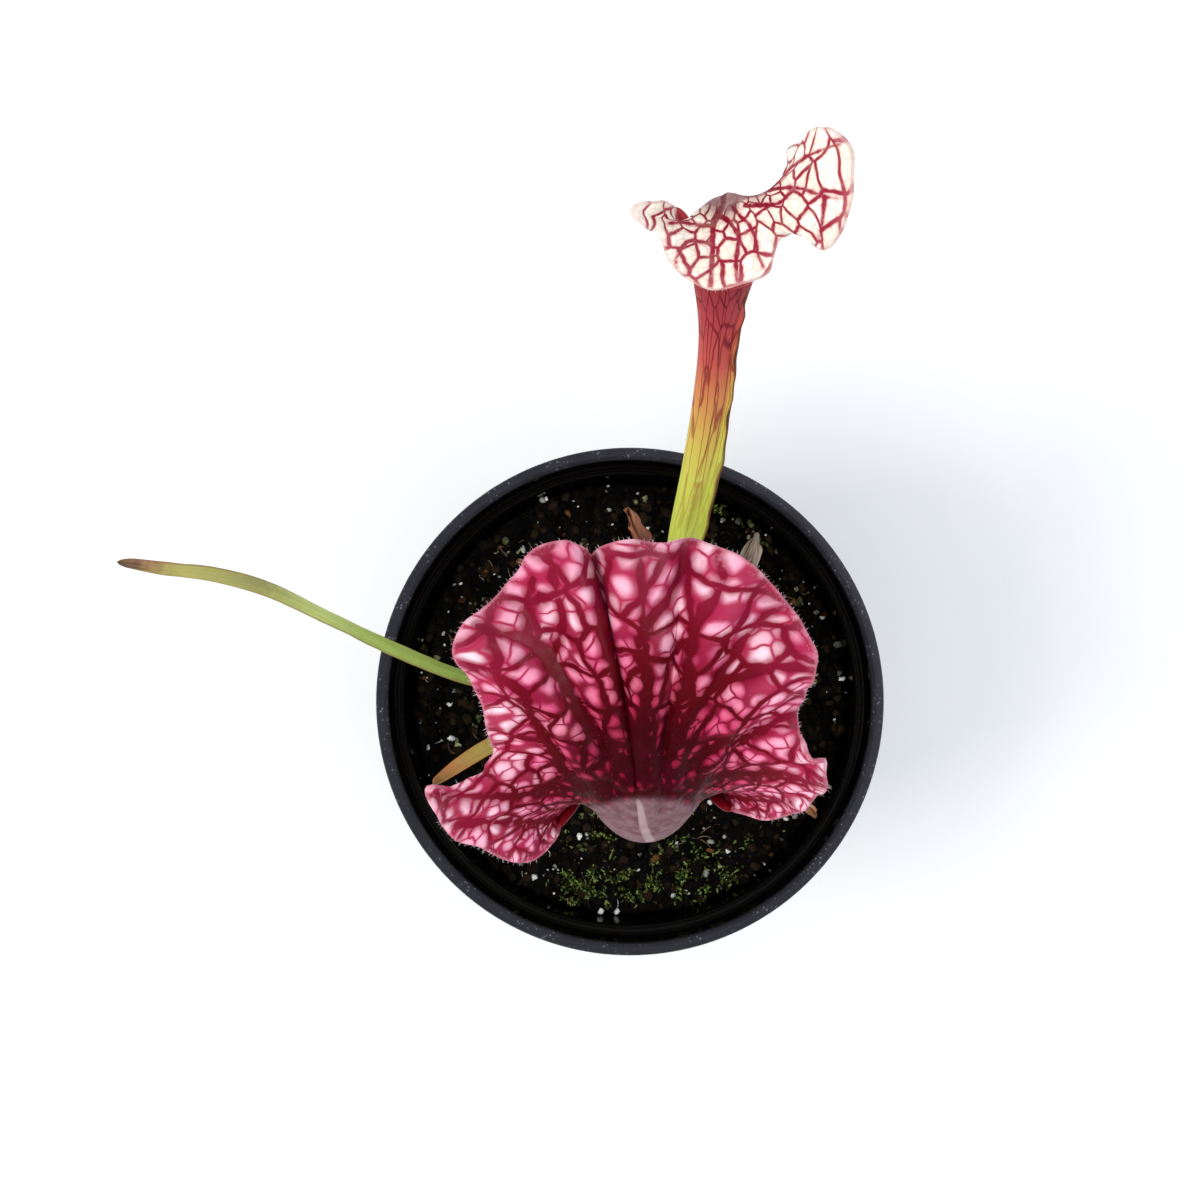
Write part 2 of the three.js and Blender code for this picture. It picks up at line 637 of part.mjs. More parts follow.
// A point of the hood: u across it from -1 to 1, v from the neck to the margin.
function hoodPoint(shape, frame, margin, u, v) {
  const start = tubePoint(shape, frame, 1, u * 90);
  const end = margin.at(u);
  const sides = Math.cos((u * Math.PI) / 2);
  // the ray leaves the neck upwards and meets the margin from the hood's middle
  const below = tubePoint(shape, frame, 0.97, u * 90);
  const up = start.clone().sub(below).normalize().add(UP).normalize();
  const rise = THREE.MathUtils.lerp(shape.neckRise[0], shape.neckRise[1], sides);
  const first = start.clone().addScaledVector(up, Math.min(rise, 0.4 * start.distanceTo(end)));
  first.addScaledVector(frame(1).out, -shape.neckLean * sides);
  const across = Math.hypot(end.x - start.x, end.y - start.y);
  const [focusX, focusY] = shape.focusAt((u + 1) / 2);
  const outwards = new THREE.Vector3(end.x - focusX, end.y - focusY, 0).normalize();
  const second = end.clone().addScaledVector(outwards, -shape.reach * across);
  const room = smooth(2, 16, across); // short rays stay flat
  const mean = margin.smoothed(u);
  second.z += ((mean - end.z) * (1 - shape.ripple) + shape.crown * sides) * room;
  return new THREE.CubicBezierCurve3(start, first, second, end).getPoint(v);
}

// How far a point lies outside the nearest strong vein, seen from above.
function veinDepth(veins, { x, y }) {
  let best = Infinity;
  for (const { half, path } of veins) {
    for (let k = 0; k + 1 < path.length; k += 1) {
      const [ax, ay] = path[k];
      const [dx, dy] = [path[k + 1][0] - ax, path[k + 1][1] - ay];
      const part = THREE.MathUtils.clamp(((x - ax) * dx + (y - ay) * dy) / (dx * dx + dy * dy), 0, 1);
      const gap = Math.hypot(x - ax - part * dx, y - ay - part * dy);
      best = Math.min(best, gap - THREE.MathUtils.lerp(...half, (k + part) / (path.length - 1)));
    }
  }
  return best;
}

// Draws each free point towards its neighbours' mean, as a stretched skin would lie.
function relax(points, triangles, slack, rounds) {
  const neighbours = points.map(() => new Map());
  for (const [a, b, c] of triangles) {
    for (const [from, to] of [[a, b], [b, c], [c, a]]) {
      neighbours[from].set(to, (neighbours[from].get(to) ?? 0) + 1);
      neighbours[to].set(from, (neighbours[to].get(from) ?? 0) + 1);
    }
  }
  // an edge that one triangle alone holds lies on the rim, and its ends stay put
  const fixed = neighbours.map((near) => [...near.values()].includes(1));
  for (let round = 0; round < rounds; round += 1) {
    const moved = points.map((p, i) => {
      if (fixed[i] || slack[i] === 0) return p;
      const mean = new THREE.Vector3();
      for (const k of neighbours[i].keys()) mean.add(points[k]);
      mean.divideScalar(neighbours[i].size);
      return p.clone().lerp(mean, slack[i]);
    });
    moved.forEach((p, i) => points[i].copy(p));
  }
}

// The pitcher's middle surface, then both of its faces and the edge between them.
function pitcherGeometry(shape) {
  const frame = tubeFrame(shape);
  const margin = marginOf(shape, frame);
  shape.focusAt = track(shape.focus);
  const middle = [];
  const extra = []; // how far the outer face alone is pushed out, as a vector
  const triangles = [];
  const slack = []; // how freely each point settles between its neighbours
  const puffs = []; // how much of the bulge between the veins each point takes part in
  const add = (point, push = null, loose = 0, puff = 0) => {
    middle.push(point);
    extra.push(push);
    slack.push(loose);
    puffs.push(puff);
    return middle.length - 1;
  };
  const face = (a, b, c) => {
    if (a !== b && b !== c && c !== a) triangles.push([a, b, c]);
  };
  const quad = (a, b, c, d) => {
    face(a, b, c);
    face(a, c, d);
  };
  // fills the strip between two lines of points, each line sorted by u
  const stitch = (lower, upper) => {
    let i = 0;
    let j = 0;
    while (i + 1 < lower.length || j + 1 < upper.length) {
      const lowerU = lower[i + 1]?.u ?? Infinity;
      const upperU = upper[j + 1]?.u ?? Infinity;
      if (upperU <= lowerU + 1e-6) {
        face(lower[i].point, upper[j + 1].point, upper[j].point);
        j += 1;
      } else {
        face(lower[i].point, lower[i + 1].point, upper[j].point);
        i += 1;
      }
    }
  };

  const firstEdge = BACK_SEGMENTS + 2 + shape.frontDegrees[0].length; // column of the wing's first edge
  const count = BACK_SEGMENTS + 1 + shape.frontDegrees.flat().length + 4;
  const lean = THREE.MathUtils.degToRad(shape.wingLean);
  const wingTrack = track(shape.wing.map((h) => [h]));
  const wingAt = (t) => wingTrack(t)[0];

  // tube
  let row = [];
  let below = null;
  for (let i = 0; i <= shape.rows; i += 1) {
    const t = i / shape.rows;
    const { side, out } = frame(t);
    const wing = side.clone().multiplyScalar(Math.sin(lean)).addScaledVector(out, Math.cos(lean));
    wing.multiplyScalar(wingAt(t));
    row = columnDegrees(shape, frame, t).map((degrees, j) => {
      const push = j === firstEdge || j === firstEdge + 1 ? wing : null;
      return add(tubePoint(shape, frame, t, degrees), push);
    });
    if (below) {
      for (let j = 0; j < count; j += 1) {
        const k = (j + 1) % count;
        quad(below[j], below[k], row[k], row[j]);
      }
    } else {
      const foot = add(frame(0).centre.clone());
      for (let j = 0; j < count; j += 1) {
        triangles.push([foot, row[(j + 1) % count], row[j]]);
      }
    }
    below = row;
  }
  const mouth = row;

  // rolled lip round the front half
  const top = frame(1);
  const topDegrees = columnDegrees(shape, frame, 1);
  const front = Array.from({ length: count - BACK_SEGMENTS - 1 }, (_, k) => BACK_SEGMENTS + 1 + k);
  const corners = [mouth[BACK_SEGMENTS], mouth[0]]; // right and left corner of the mouth
  let edge = front.map((j) => mouth[j]);
  for (let i = 0; i < LIP_ROLL.length; i += 1) {
    const next = front.map((j) => {
      const a = THREE.MathUtils.degToRad(topDegrees[j]);
      const rolled = smooth(0.15, 0.75, -Math.cos(a));
      const outwards = THREE.MathUtils.lerp(LIP_FLARE[i][0], LIP_ROLL[i][0], rolled);
      const upwards = THREE.MathUtils.lerp(LIP_FLARE[i][1], LIP_ROLL[i][1], rolled);
      const p = middle[mouth[j]].clone();
      p.addScaledVector(top.side, Math.sin(a) * outwards);
      p.addScaledVector(top.out, Math.cos(a) * outwards);
      p.addScaledVector(top.along, upwards);
      return add(p);
    });
    for (let k = 0; k + 1 < edge.length; k += 1) {
      quad(edge[k], edge[k + 1], next[k + 1], next[k]);
    }
    triangles.push([corners[0], edge[0], next[0]]);
    triangles.push([corners[1], next.at(-1), edge.at(-1)]);
    edge = next;
  }

  // neck and hood: lines of points from corner to corner, the columns doubling twice on the way
  const across = (segments) => Array.from({ length: segments + 1 }, (_, k) => -1 + (2 * k) / segments);
  const ends = { left: corners[1], right: corners[0] };
  let line = across(BACK_SEGMENTS).map((u, k) => ({ u, point: mouth[k] }));
  const totalRows = shape.hoodRows.reduce((a, b) => a + b, 0);
  let done = 0;
  shape.hoodRows.forEach((rows, step) => {
    const columns = across(BACK_SEGMENTS * 2 ** (step + 1)).filter((u) => Math.abs(u) < shape.lastRay);
    for (let i = 0; i < rows; i += 1) {
      done += 1;
      const inner = columns.map((u) => {
        const loose = 0.9 * smooth(shape.settled[0], shape.settled[1], Math.abs(u));
        const v = done / totalRows;
        const puff = smooth(0, 0.25, v) * (1 - smooth(0.85, 1, v)) * (1 - smooth(0.86, 1, Math.abs(u)));
        const point = add(hoodPoint(shape, frame, margin, u, v), null, loose, puff);
        return { u, point };
      });
      const next = [{ u: -1, point: ends.left }, ...inner, { u: 1, point: ends.right }];
      stitch(line, next);
      line = next;
    }
  });
  relax(middle, triangles, slack, SETTLING_ROUNDS);
  const outwards = normalsOf(middle, triangles);
  middle.forEach((point, i) => {
    if (puffs[i] === 0) return;
    const bulge = PUCKER * puffs[i] * smooth(0.8, 2.4, veinDepth(shape.veins, point));
    point.addScaledVector(outwards[i], bulge);
  });
  return thicken(middle, extra, triangles, PITCHER_WALL);
}

// Unit normals of a surface at its points.
function normalsOf(points, triangles) {
  const normals = points.map(() => new THREE.Vector3());
  for (const [a, b, c] of triangles) {
    const u = new THREE.Vector3().subVectors(points[b], points[a]);
    const v = new THREE.Vector3().subVectors(points[c], points[a]);
    const n = u.cross(v);
    for (const k of [a, b, c]) normals[k].add(n);
  }
  return normals.map((n) => n.normalize());
}

// Gives a surface its wall: both faces and the edge between them.
function thicken(middle, extra, triangles, wall) {
  const normals = normalsOf(middle, triangles);
  const edges = new Map();
  for (const [a, b, c] of triangles) {
    for (const [from, to] of [[a, b], [b, c], [c, a]]) edges.set(`${from},${to}`, [from, to]);
  }
  const count = middle.length;
  const outer = middle.map((p, i) => {
    const q = p.clone().addScaledVector(normals[i], wall / 2);
    return extra[i] ? q.add(extra[i]) : q;
  });
  const inner = middle.map((p, i) => p.clone().addScaledVector(normals[i], -wall / 2));
  const faces = triangles.flatMap(([a, b, c]) => [[a, b, c], [c + count, b + count, a + count]]);
  for (const [from, to] of edges.values()) {
    if (edges.has(`${to},${from}`)) continue;
    faces.push([to, from, from + count], [to, from + count, to + count]);
  }
  return geometryOf([...outer, ...inner], faces);
}

// --------------------------------------------------------------- scene graph
function piece(name, geometry, color, roughness) {
  const material = new THREE.MeshStandardMaterial({ color, roughness, metalness: 0 });
  const mesh = new THREE.Mesh(geometry, material);
  mesh.name = name;
  return mesh;
}

const plant = new THREE.Group();
plant.add(
  piece('pot', potGeometry(), 0x17171b, 0.45),
  piece('soil', soilGeometry(), 0x1d1a16, 0.95),
  piece('rhizome', rhizomeGeometry(), 0x5a3a22, 0.85),
  piece('pitcher_front', pitcherGeometry(PITCHER_FRONT), 0xb23a62, 0.5),
  piece('pitcher_back', pitcherGeometry(PITCHER_BACK), 0xe9cfc4, 0.5),
);
const BLADE_COLOURS = {
  phyllode_left: 0x8aa04a,
  leaf_olive: 0x93953f,
  dried_leaf_brown: 0x6b3a22,
  dried_leaf_papery: 0xa08a72,
  dried_leaf_tan: 0xa87a48,
};
for (const [name, shape] of Object.entries(BLADES)) {
  plant.add(piece(name, bladeGeometry(shape), BLADE_COLOURS[name], 0.6));
}

export default plant;
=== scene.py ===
"""A pitcher plant in a black nursery pot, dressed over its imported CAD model."""
import functools
import math
import random

import bmesh
import bpy
import numpy as np
from mathutils import Matrix, Vector, noise
from numpy.linalg import norm


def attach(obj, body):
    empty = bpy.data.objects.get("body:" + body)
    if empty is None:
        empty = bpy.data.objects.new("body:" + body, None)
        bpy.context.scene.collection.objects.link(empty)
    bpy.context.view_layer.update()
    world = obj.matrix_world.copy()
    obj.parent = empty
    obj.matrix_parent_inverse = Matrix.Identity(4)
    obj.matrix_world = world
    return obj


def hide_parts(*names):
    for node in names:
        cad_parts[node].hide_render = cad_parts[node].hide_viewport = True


bl_info = {
    "name": "Potted Pitcher Plant",
    "version": (1, 0, 0),
    "blender": (4, 5, 0),
    "location": "3D View > Sidebar > Plant",
    "description": "Builds a potted pitcher plant piece by piece",
    "category": "Add Mesh",
}

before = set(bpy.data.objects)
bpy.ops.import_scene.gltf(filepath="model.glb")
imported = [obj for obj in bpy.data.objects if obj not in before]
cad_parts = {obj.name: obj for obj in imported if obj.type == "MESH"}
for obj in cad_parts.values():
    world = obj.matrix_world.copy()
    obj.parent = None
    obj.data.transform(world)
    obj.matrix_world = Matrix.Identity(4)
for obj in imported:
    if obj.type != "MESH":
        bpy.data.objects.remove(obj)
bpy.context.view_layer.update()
BODY = "root"
MM = 0.001

# ------------------------------------------------------------ sizes, in millimetres
# They repeat the forms of the CAD model, which the finer pieces here keep.
RIM = 45.0
HEIGHT = 80.0
COLLAR = 71.0  # underside of the collar, and the stacking ledge inside it
LEDGE_RADIUS = 40.4
WALL = 1.3
FOOT = 31.0
FLOOR = 1.8
DRAIN_HOLES = [(8, 22.0, 3.25), (4, 10.5, 2.5)]  # count, radius of their ring, hole radius

SOIL_LEVEL = 66.6
SOIL_MOUND = 1.6
CLOD_HEIGHT = 0.85
CLOD_SEED = 7
CROWN_CENTRE = (3.5, 2.5)
CROWN_CLEAR = 10.5  # no loose bit lies nearer to the crown's centre
PEAT_EDGE = 39.2  # nor farther out than this
SHAPES_AT_ONCE = 40  # small shapes are built in batches, which keeps the building quick

LEAF_FOOT = 64.8
PITCHER_FOOT = 65.2

# Spine points run from the foot to the middle of the mouth: x, y, z, half width, half depth.
FRONT = {
    "names": ("large_pitcher", "pitcher_front", "pitcher_pink"),  # piece, CAD node and slot
    "detail": (240, 56, 84), "pucker": 0.45, "ruffle": 0.22,  # columns and rows, bulge and waves
    "hairs": ("large_hood_hairs", 41, 1300, 250, 1.0),  # piece, seed, fringe, surface and length
    "spine": [
        (3, -2, PITCHER_FOOT, 2.3, 2.3), (3, -2, 74, 2.3, 2.4), (3.4, -1.5, 92, 2.7, 2.9),
        (3.4, -1.6, 112, 3.5, 3.8), (2.8, -2.4, 132, 4.4, 4.8), (2.1, -3.8, 150, 5.4, 5.9),
        (1.5, -5.2, 166, 6.6, 7.1), (0.9, -6.2, 180, 7.4, 7.9),
    ],
    "back": (0, -1, 0),
    "wing": [0, 0, 1.2, 2.4, 2.8, 2.9, 2.2, 0],
    "wing_root": 180, "wing_lean": 180, "wing_wave": 0.35,  # degrees from the back, millimetres
    "back_rise": 6.5,
    "front_drop": 3.5,
    "neck_rise": (3, 13),
    "neck_lean": 2.4,
    "middle": (0.8, 3),
    "focus": [(-3, -3), (-1, 2), (0.8, 3), (3, 2), (5, -3)],
    "reach": 0.42,
    "crown": 2.5,
    "ripple": 0.4,
    "settled": (0.4, 0.75),
    "last_ray": 0.8,
    "lobe_turn": 2,
    "rounds": 100,
    "roll": 1.15,
    "neck": (0.9, -13.2, 9.6, 5.4),
    "midrib": [(0.32, 0.5, [(-0.35, -8.2), (0.4, -11), (1.4, -14.6)])],
    "heart": (0.3, -6.5),  # where the hood's veins meet, seen from above
    "tips": [(-25.5, -9.5, 3.2), (23.3, -5, 3.4)],  # pale frilled tips: x, y, radius
    "rolled": (11.5, 9, 0.5),  # lengths of the rolled margin at both sides of the mouth, and its radius
    "margin": [
        (-7.6, -7.9, 182.6), (-9, -9.8, 185.2), (-10.3, -11.9, 186.8), (-11.2, -14.2, 187.4),
        (-12.7, -15.9, 187.8),
        (-15.3, -17.1, 190), (-18.6, -16.3, 192), (-21.4, -14.4, 195), (-24.3, -13.4, 197),
        (-26.3, -10.5, 200), (-27.4, -6.4, 203), (-24.1, -5.9, 201), (-21, -5.4, 198),
        (-19, -3, 195), (-19.8, 0.5, 200), (-20.4, 4.2, 204), (-21.9, 8.3, 206),
        (-23.9, 11.1, 210), (-22.6, 14.9, 211), (-19.2, 17.7, 208), (-16.5, 20.8, 206),
        (-13.5, 24.5, 210), (-9.7, 25.5, 211), (-7.8, 24.6, 208.5), (-6.6, 23.7, 206),
        (-5.3, 24.7, 208.5), (-1.6, 25.6, 212), (2.5, 25.2, 210), (6.2, 25.9, 206.5),
        (9.2, 24.8, 210), (12.8, 23.2, 212), (16.9, 19.5, 208), (20, 15.5, 208),
        (21.9, 11.1, 211), (21.6, 7.6, 207), (20.2, 4.3, 201), (20.5, 0.6, 203),
        (22.2, -2.2, 205), (24.4, -5.7, 199), (22.7, -8.7, 194), (20.1, -10.7, 190),
        (16.9, -11.6, 188), (14.3, -11, 187.2), (12.2, -10.2, 186.4), (10.6, -9, 184.8),
        (9.3, -7.6, 182.4),
    ],
    # the strong veins as seen from above, each with its half width at its two ends
    "veins": [
        (0.95, 0.45, [(-0.5, -3.5), (-2.5, 5.5), (-4.7, 12.9), (-6.3, 23.2)]),
        (0.95, 0.45, [(-1.1, -4.1), (-7.5, 3.3), (-11.7, 10.3), (-14.6, 12.9), (-20.7, 14.6)]),
        (0.55, 0.25, [(-11.5, 9.7), (-10.2, 14), (-10.4, 17.7), (-11.7, 24)]),
        (0.5, 0.25, [(-14.6, 12.9), (-14.8, 17), (-13.6, 20.5)]),
        (0.9, 0.35, [(-4.5, -6.5), (-9.1, -5), (-12.7, 1.4), (-16.5, 7.8), (-22.6, 9.9)]),
        (0.7, 0.3, [(-5.5, -7.5), (-10.4, -6.6), (-18.7, -7.6), (-25.9, -7.3)]),
        (0.6, 0.25, [(-6, -9.5), (-12, -11.5), (-18, -11), (-24, -11.5)]),
        (0.8, 0.3, [(0.5, -3.5), (0.6, 6.5), (-0.2, 13.1), (3.7, 19.3), (5.6, 25.2)]),
        (0.45, 0.25, [(-0.2, 13.1), (0.1, 17.5), (-1, 24.6)]),
        (0.8, 0.35, [(1.6, -3.2), (5.4, 6.5), (6.5, 14.1), (9.6, 19.3), (9.9, 24)]),
        (0.85, 0.3, [(3, -3.5), (7.5, 5.5), (13.3, 8.7), (18.1, 9.7), (21.9, 9.4)]),
        (0.5, 0.25, [(9, 6.6), (12.2, 12.6), (16.5, 16.6), (18.8, 17.4)]),
        (0.75, 0.3, [(4.7, -4.5), (9, -0.9), (13.3, 0.4), (19, 3.4), (20.4, 3.6)]),
        (0.7, 0.3, [(5.9, -6), (13.3, -4.6), (20.9, -5), (24, -5.6)]),
        (0.6, 0.25, [(6.5, -7.5), (13, -8.4), (20, -8.6)]),
    ],
}
BACK = {
    "names": ("smaller_pitcher", "pitcher_back", "pitcher_white"),
    "detail": (160, 70, 60), "pucker": 0.25, "ruffle": 0.14,
    "hairs": ("smaller_hood_hairs", 42, 500, 160, 0.7),
    "spine": [
        (7, 7, PITCHER_FOOT, 1.7, 1.7), (7, 7, 71.5, 1.7, 1.7), (7, 8.2, 75.5, 1.7, 1.8),
        (7.3, 14.5, 86, 1.7, 1.9), (8.1, 27.5, 107, 1.9, 2.1), (10.1, 39, 129, 2.2, 2.4),
        (11.5, 49, 149, 2.5, 2.7), (11.7, 57.5, 165, 2.6, 2.9), (12, 66.8, 179, 4.9, 5.4),
    ],
    "back": (0, 1, 0),
    "wing": [0, 0.1, 0.9, 1.7, 2.1, 2, 1.2, 1.3, 0],
    "wing_root": 225, "wing_lean": 250, "wing_wave": 0.25,
    "back_rise": 4,
    "front_drop": 1,
    "neck_rise": (1.5, 4.5),
    "neck_lean": 0.6,
    "middle": (12, 70),
    "focus": [(17, 72.5), (17, 72.5), (13.5, 70.5), (11, 69.5), (9, 70.5)],
    "reach": 0.4,
    "crown": 1.2,
    "ripple": 0.4,
    "settled": (0, 0.1),
    "last_ray": 0.6,
    "lobe_turn": 2,
    "rounds": 160,
    "roll": 0.55,
    "neck": (12, 73.4, 3.4, 1.7),
    "midrib": [(0.3, 0.3, [(12, 75), (11.8, 73.4), (11.6, 71.6)])],
    "heart": (12, 72.4),
    "tips": [(0.3, 69.6, 2.4)],
    "rolled": (13, 8, 0.75),
    "margin": [
        (18.6, 68.6, 180.6), (19.6, 70.8, 181.8), (20.2, 73.6, 182.8), (20.4, 76.6, 184.2),
        (20.1, 79, 186),
        (22, 79.4, 187.6), (22.6, 80.2, 190), (23.2, 80.4, 194), (24.9, 79.2, 199),
        (27.4, 76.4, 200), (27.6, 72, 199), (26.9, 67.5, 197), (25.5, 64.9, 194),
        (23.8, 64.6, 192), (22.4, 67.3, 191), (21.6, 67.6, 190.6), (20.6, 67.4, 188.6),
        (18.8, 66.6, 186.5), (18, 64.2, 186), (17.6, 62.3, 186), (14.8, 61, 186),
        (10.3, 60, 185), (6.9, 61.2, 185.5), (4.2, 63.6, 186), (3.1, 66.4, 187),
        (2.8, 68.2, 188), (0.9, 67.7, 189.5), (-0.8, 69.5, 192), (0.7, 71, 191),
        (3.1, 71.6, 188.9), (4.4, 71.4, 186.6), (5.4, 70.6, 184.2), (6.2, 69, 181.8),
    ],
    "veins": [
        (0.5, 0.32, [(12, 72.6), (10.3, 69.2), (9.8, 65.6), (9.6, 60.6)]),
        (0.35, 0.28, [(11, 70.4), (12.6, 68.6), (13.5, 66.6), (13.1, 63.4), (13.4, 61.2)]),
        (0.3, 0.18, [(12.9, 71.4), (15, 68.6), (16.1, 65.6), (16.8, 63)]),
        (0.3, 0.18, [(10.1, 68.6), (6.4, 69), (3.6, 68.6)]),
        (0.3, 0.2, [(9.8, 66.3), (6.6, 66.5), (5.2, 64.4), (5, 63)]),
        (0.3, 0.2, [(13.5, 72.2), (17.6, 73), (21.4, 72.4), (24.2, 71), (26.6, 70.6)]),
        (0.3, 0.18, [(14.5, 71.4), (18.4, 71), (20.4, 72.5)]),
        (0.3, 0.18, [(17.6, 73), (20.2, 75.4), (23.2, 76.8), (26, 77.4)]),
        (0.28, 0.18, [(24.2, 71), (24, 68.6), (23.8, 66)]),
    ],
}

# Plain leaves: x, y, z, half width, half thickness, twist in degrees.
PHYLLODE = {
    "keel": 0.25, "wave": 0.25, "torn": 0, "crumple": 0.12,
    "spine": [
        (-2, 4, LEAF_FOOT, 1.3, 1.3, 0), (-2, 4, 71.5, 1.3, 1.3, 0),
        (-2.7, 3.9, 75.2, 1.35, 1.1, 4), (-6.5, 3.3, 80.5, 1.5, 0.85, 12),
        (-15.5, 2.7, 88.5, 1.25, 0.6, 22), (-27.5, 4.6, 96, 1.15, 0.45, 28),
        (-40.9, 10.3, 106, 1.3, 0.42, 30), (-49.5, 15, 115, 1.5, 0.42, 34),
        (-57.5, 19.4, 124, 1.2, 0.42, 8), (-66, 22.1, 131, 1.4, 0.4, -28),
        (-73.5, 23, 136.5, 1.2, 0.38, -42), (-79.4, 23.8, 140, 0.95, 0.45, -50),
    ],
}
OLIVE_LEAF = {
    "keel": 0.25, "wave": 0.3, "torn": 0, "crumple": 0.15,
    "spine": [
        (-2, -0.8, LEAF_FOOT, 1.2, 1.2, 0), (-2, -0.8, 71.5, 1.2, 1.2, 0),
        (-2.7, -0.9, 75.5, 1.25, 1, 4), (-6.4, -1.5, 82.5, 1.4, 0.75, 8),
        (-13, -2.8, 90, 1.6, 0.5, 16), (-22.5, -6, 98, 1.35, 0.42, 20),
        (-28.7, -9.5, 103, 1.2, 0.4, 10), (-33.2, -12.7, 105.5, 0.6, 0.4, -10),
    ],
}
DRIED_BROWN = {
    "keel": 0.2, "wave": 0.7, "torn": 0.3, "crumple": 0.8,
    "spine": [
        (2.2, 7.8, LEAF_FOOT, 1.2, 1.2, 0), (2.2, 7.8, 71.5, 1.2, 1.2, 0),
        (2.2, 8.6, 75, 1.25, 1, 5), (2.6, 13, 81, 1.3, 0.7, 15),
        (3.2, 20, 87, 1.5, 0.5, 30), (2.4, 26.6, 93, 1.9, 0.45, 45),
        (0.8, 31, 96, 1.8, 0.42, 58), (-1.2, 34.4, 96.5, 1, 0.4, 66),
    ],
}
DRIED_PAPERY = {
    "keel": 0.2, "wave": 0.6, "torn": 0.25, "crumple": 0.7,
    "spine": [
        (10, 3.2, LEAF_FOOT, 1.2, 1.2, 0), (10, 3.2, 71.5, 1.2, 1.2, 0),
        (10.4, 3.8, 75, 1.25, 1, 4), (12.6, 7.2, 80.5, 1.3, 0.7, 10),
        (16, 13.5, 86, 1.5, 0.5, 20), (19, 21.5, 92, 1.8, 0.42, 10),
        (20.6, 26, 95, 1.6, 0.4, -20), (21.6, 30, 96.5, 1, 0.4, -50),
    ],
}
DRIED_TAN = {
    "keel": 0.2, "wave": 0.5, "torn": 0.12, "crumple": 0.5,
    "spine": [
        (8.5, -1.8, LEAF_FOOT, 1.2, 1.2, 0), (8.5, -1.8, 71.5, 1.2, 1.2, 0),
        (9.1, -2.2, 74.8, 1.25, 1, -4), (13, -4.9, 78.8, 1.35, 0.7, -10),
        (19, -8.8, 82, 1.5, 0.5, -20), (25.5, -13.6, 85.5, 1.5, 0.42, 0),
        (30, -17.4, 87.5, 1.2, 0.4, 30), (33, -20, 88.5, 0.6, 0.4, 50),
    ],
}


# ------------------------------------------------------------------- small helpers
def smooth(low, high, x):
    """A soft step from 0 at low to 1 at high."""
    t = np.clip((x - low) / (high - low), 0, 1)
    return t * t * (3 - 2 * t)


def unit(v):
    return v / np.maximum(norm(v, axis=-1, keepdims=True), 1e-9)


def running_sum(steps):
    """The sums of the first steps, from none of them to all."""
    return np.concatenate([[0], np.cumsum(steps)])


def track(rows, t):
    """A smooth curve through rows of numbers, at places t from 0 to 1."""
    p = np.array(rows, float)
    place = np.clip(np.asarray(t, float), 0, 1) * (len(p) - 1)
    i = np.minimum(place.astype(int), len(p) - 2)
    w = (place - i)[..., None]
    ends = np.vstack([2 * p[0] - p[1], p, 2 * p[-1] - p[-2]])
    before, a, b, after = (ends[i + k] for k in range(4))
    m, n = (b - before) / 2, (after - a) / 2
    return ((2 * a - 2 * b + m + n) * w + (-3 * a + 3 * b - 2 * m - n)) * w * w + m * w + a


def direction_at(rows, t, step=1e-3):
    """Which way the curve through those rows goes at places t."""
    ahead = track(rows, np.minimum(t + step, 1)) - track(rows, np.maximum(t - step, 0))
    return unit(ahead[:, :3])


def ripples(points, scale, seed):
    """Soft noise from about -1 to 1 at points in millimetres, with lumps of about scale."""
    shift = Vector((seed * 7.3, seed * 3.1, seed * 5.7))
    return np.array([noise.noise(Vector(p) / scale + shift) for p in points])


def colour(code):
    """An sRGB hex value as a linear colour."""
    values = [int(code[k : k + 2], 16) / 255 for k in (1, 3, 5)]
    linear = [v / 12.92 if v <= 0.04045 else ((v + 0.055) / 1.055) ** 2.4 for v in values]
    return (*linear, 1.0)


# The output that is read from most nodes of a kind, and their settings.
USUAL = {
    "Attribute": ("Fac", {}),
    "MapRange": (0, {"interpolation_type": "SMOOTHSTEP"}),
    "Mix": (2, {"data_type": "RGBA"}),
    "TexCoord": ("Object", {}),
    "TexNoise": ("Fac", {}),
}
COLOUR_MIX = (0, 6, 7)  # the sockets of a colour mix: its share and its two colours


def node(tree, kind, inputs=(), output=None, stops=None, **settings):
    """Adds a shader node with its settings, sets or links its inputs and returns an output.

    The kind may end with an operation, and a colour may be its hex value.
    """
    kind, _, operation = kind.partition(" ")
    usual_output, usual = USUAL.get(kind, (0, {}))
    new = tree.nodes.new("ShaderNode" + kind)
    if operation:
        settings["operation"] = operation
    for name, value in {**usual, **settings}.items():
        setattr(new, name, value)
    for k, (place, shade) in enumerate((stops or {}).items()):
        elements = new.color_ramp.elements
        element = elements[k] if k < len(elements) else elements.new(1.0)
        element.position, element.color = place, plain(shade)
    if not isinstance(inputs, dict):
        inputs = dict(zip(COLOUR_MIX if kind == "Mix" else range(len(inputs)), inputs))
    for socket, value in inputs.items():
        if isinstance(value, bpy.types.NodeSocket):
            tree.links.new(value, new.inputs[socket])
        else:
            new.inputs[socket].default_value = plain(value)
    return new.outputs[usual_output if output is None else output] if new.outputs else None


def plain(value):
    """A hex value as its colour, and anything else as it is."""
    return colour(value) if isinstance(value, str) else value


def sized(place, millimetres, detail=None):
    """The inputs of a pattern with lumps of a real size."""
    inputs = {"Vector": place, "Scale": 1 / (millimetres * MM)}
    return inputs if detail is None else {**inputs, "Detail": detail}


def new_material(name):
    """The function that adds nodes to an empty material, and the object's coordinates there."""
    material = bpy.data.materials.new(name)
    material.use_nodes = True
    material.node_tree.nodes.clear()
    add = functools.partial(node, material.node_tree)
    add.material = material
    return add, add("TexCoord")


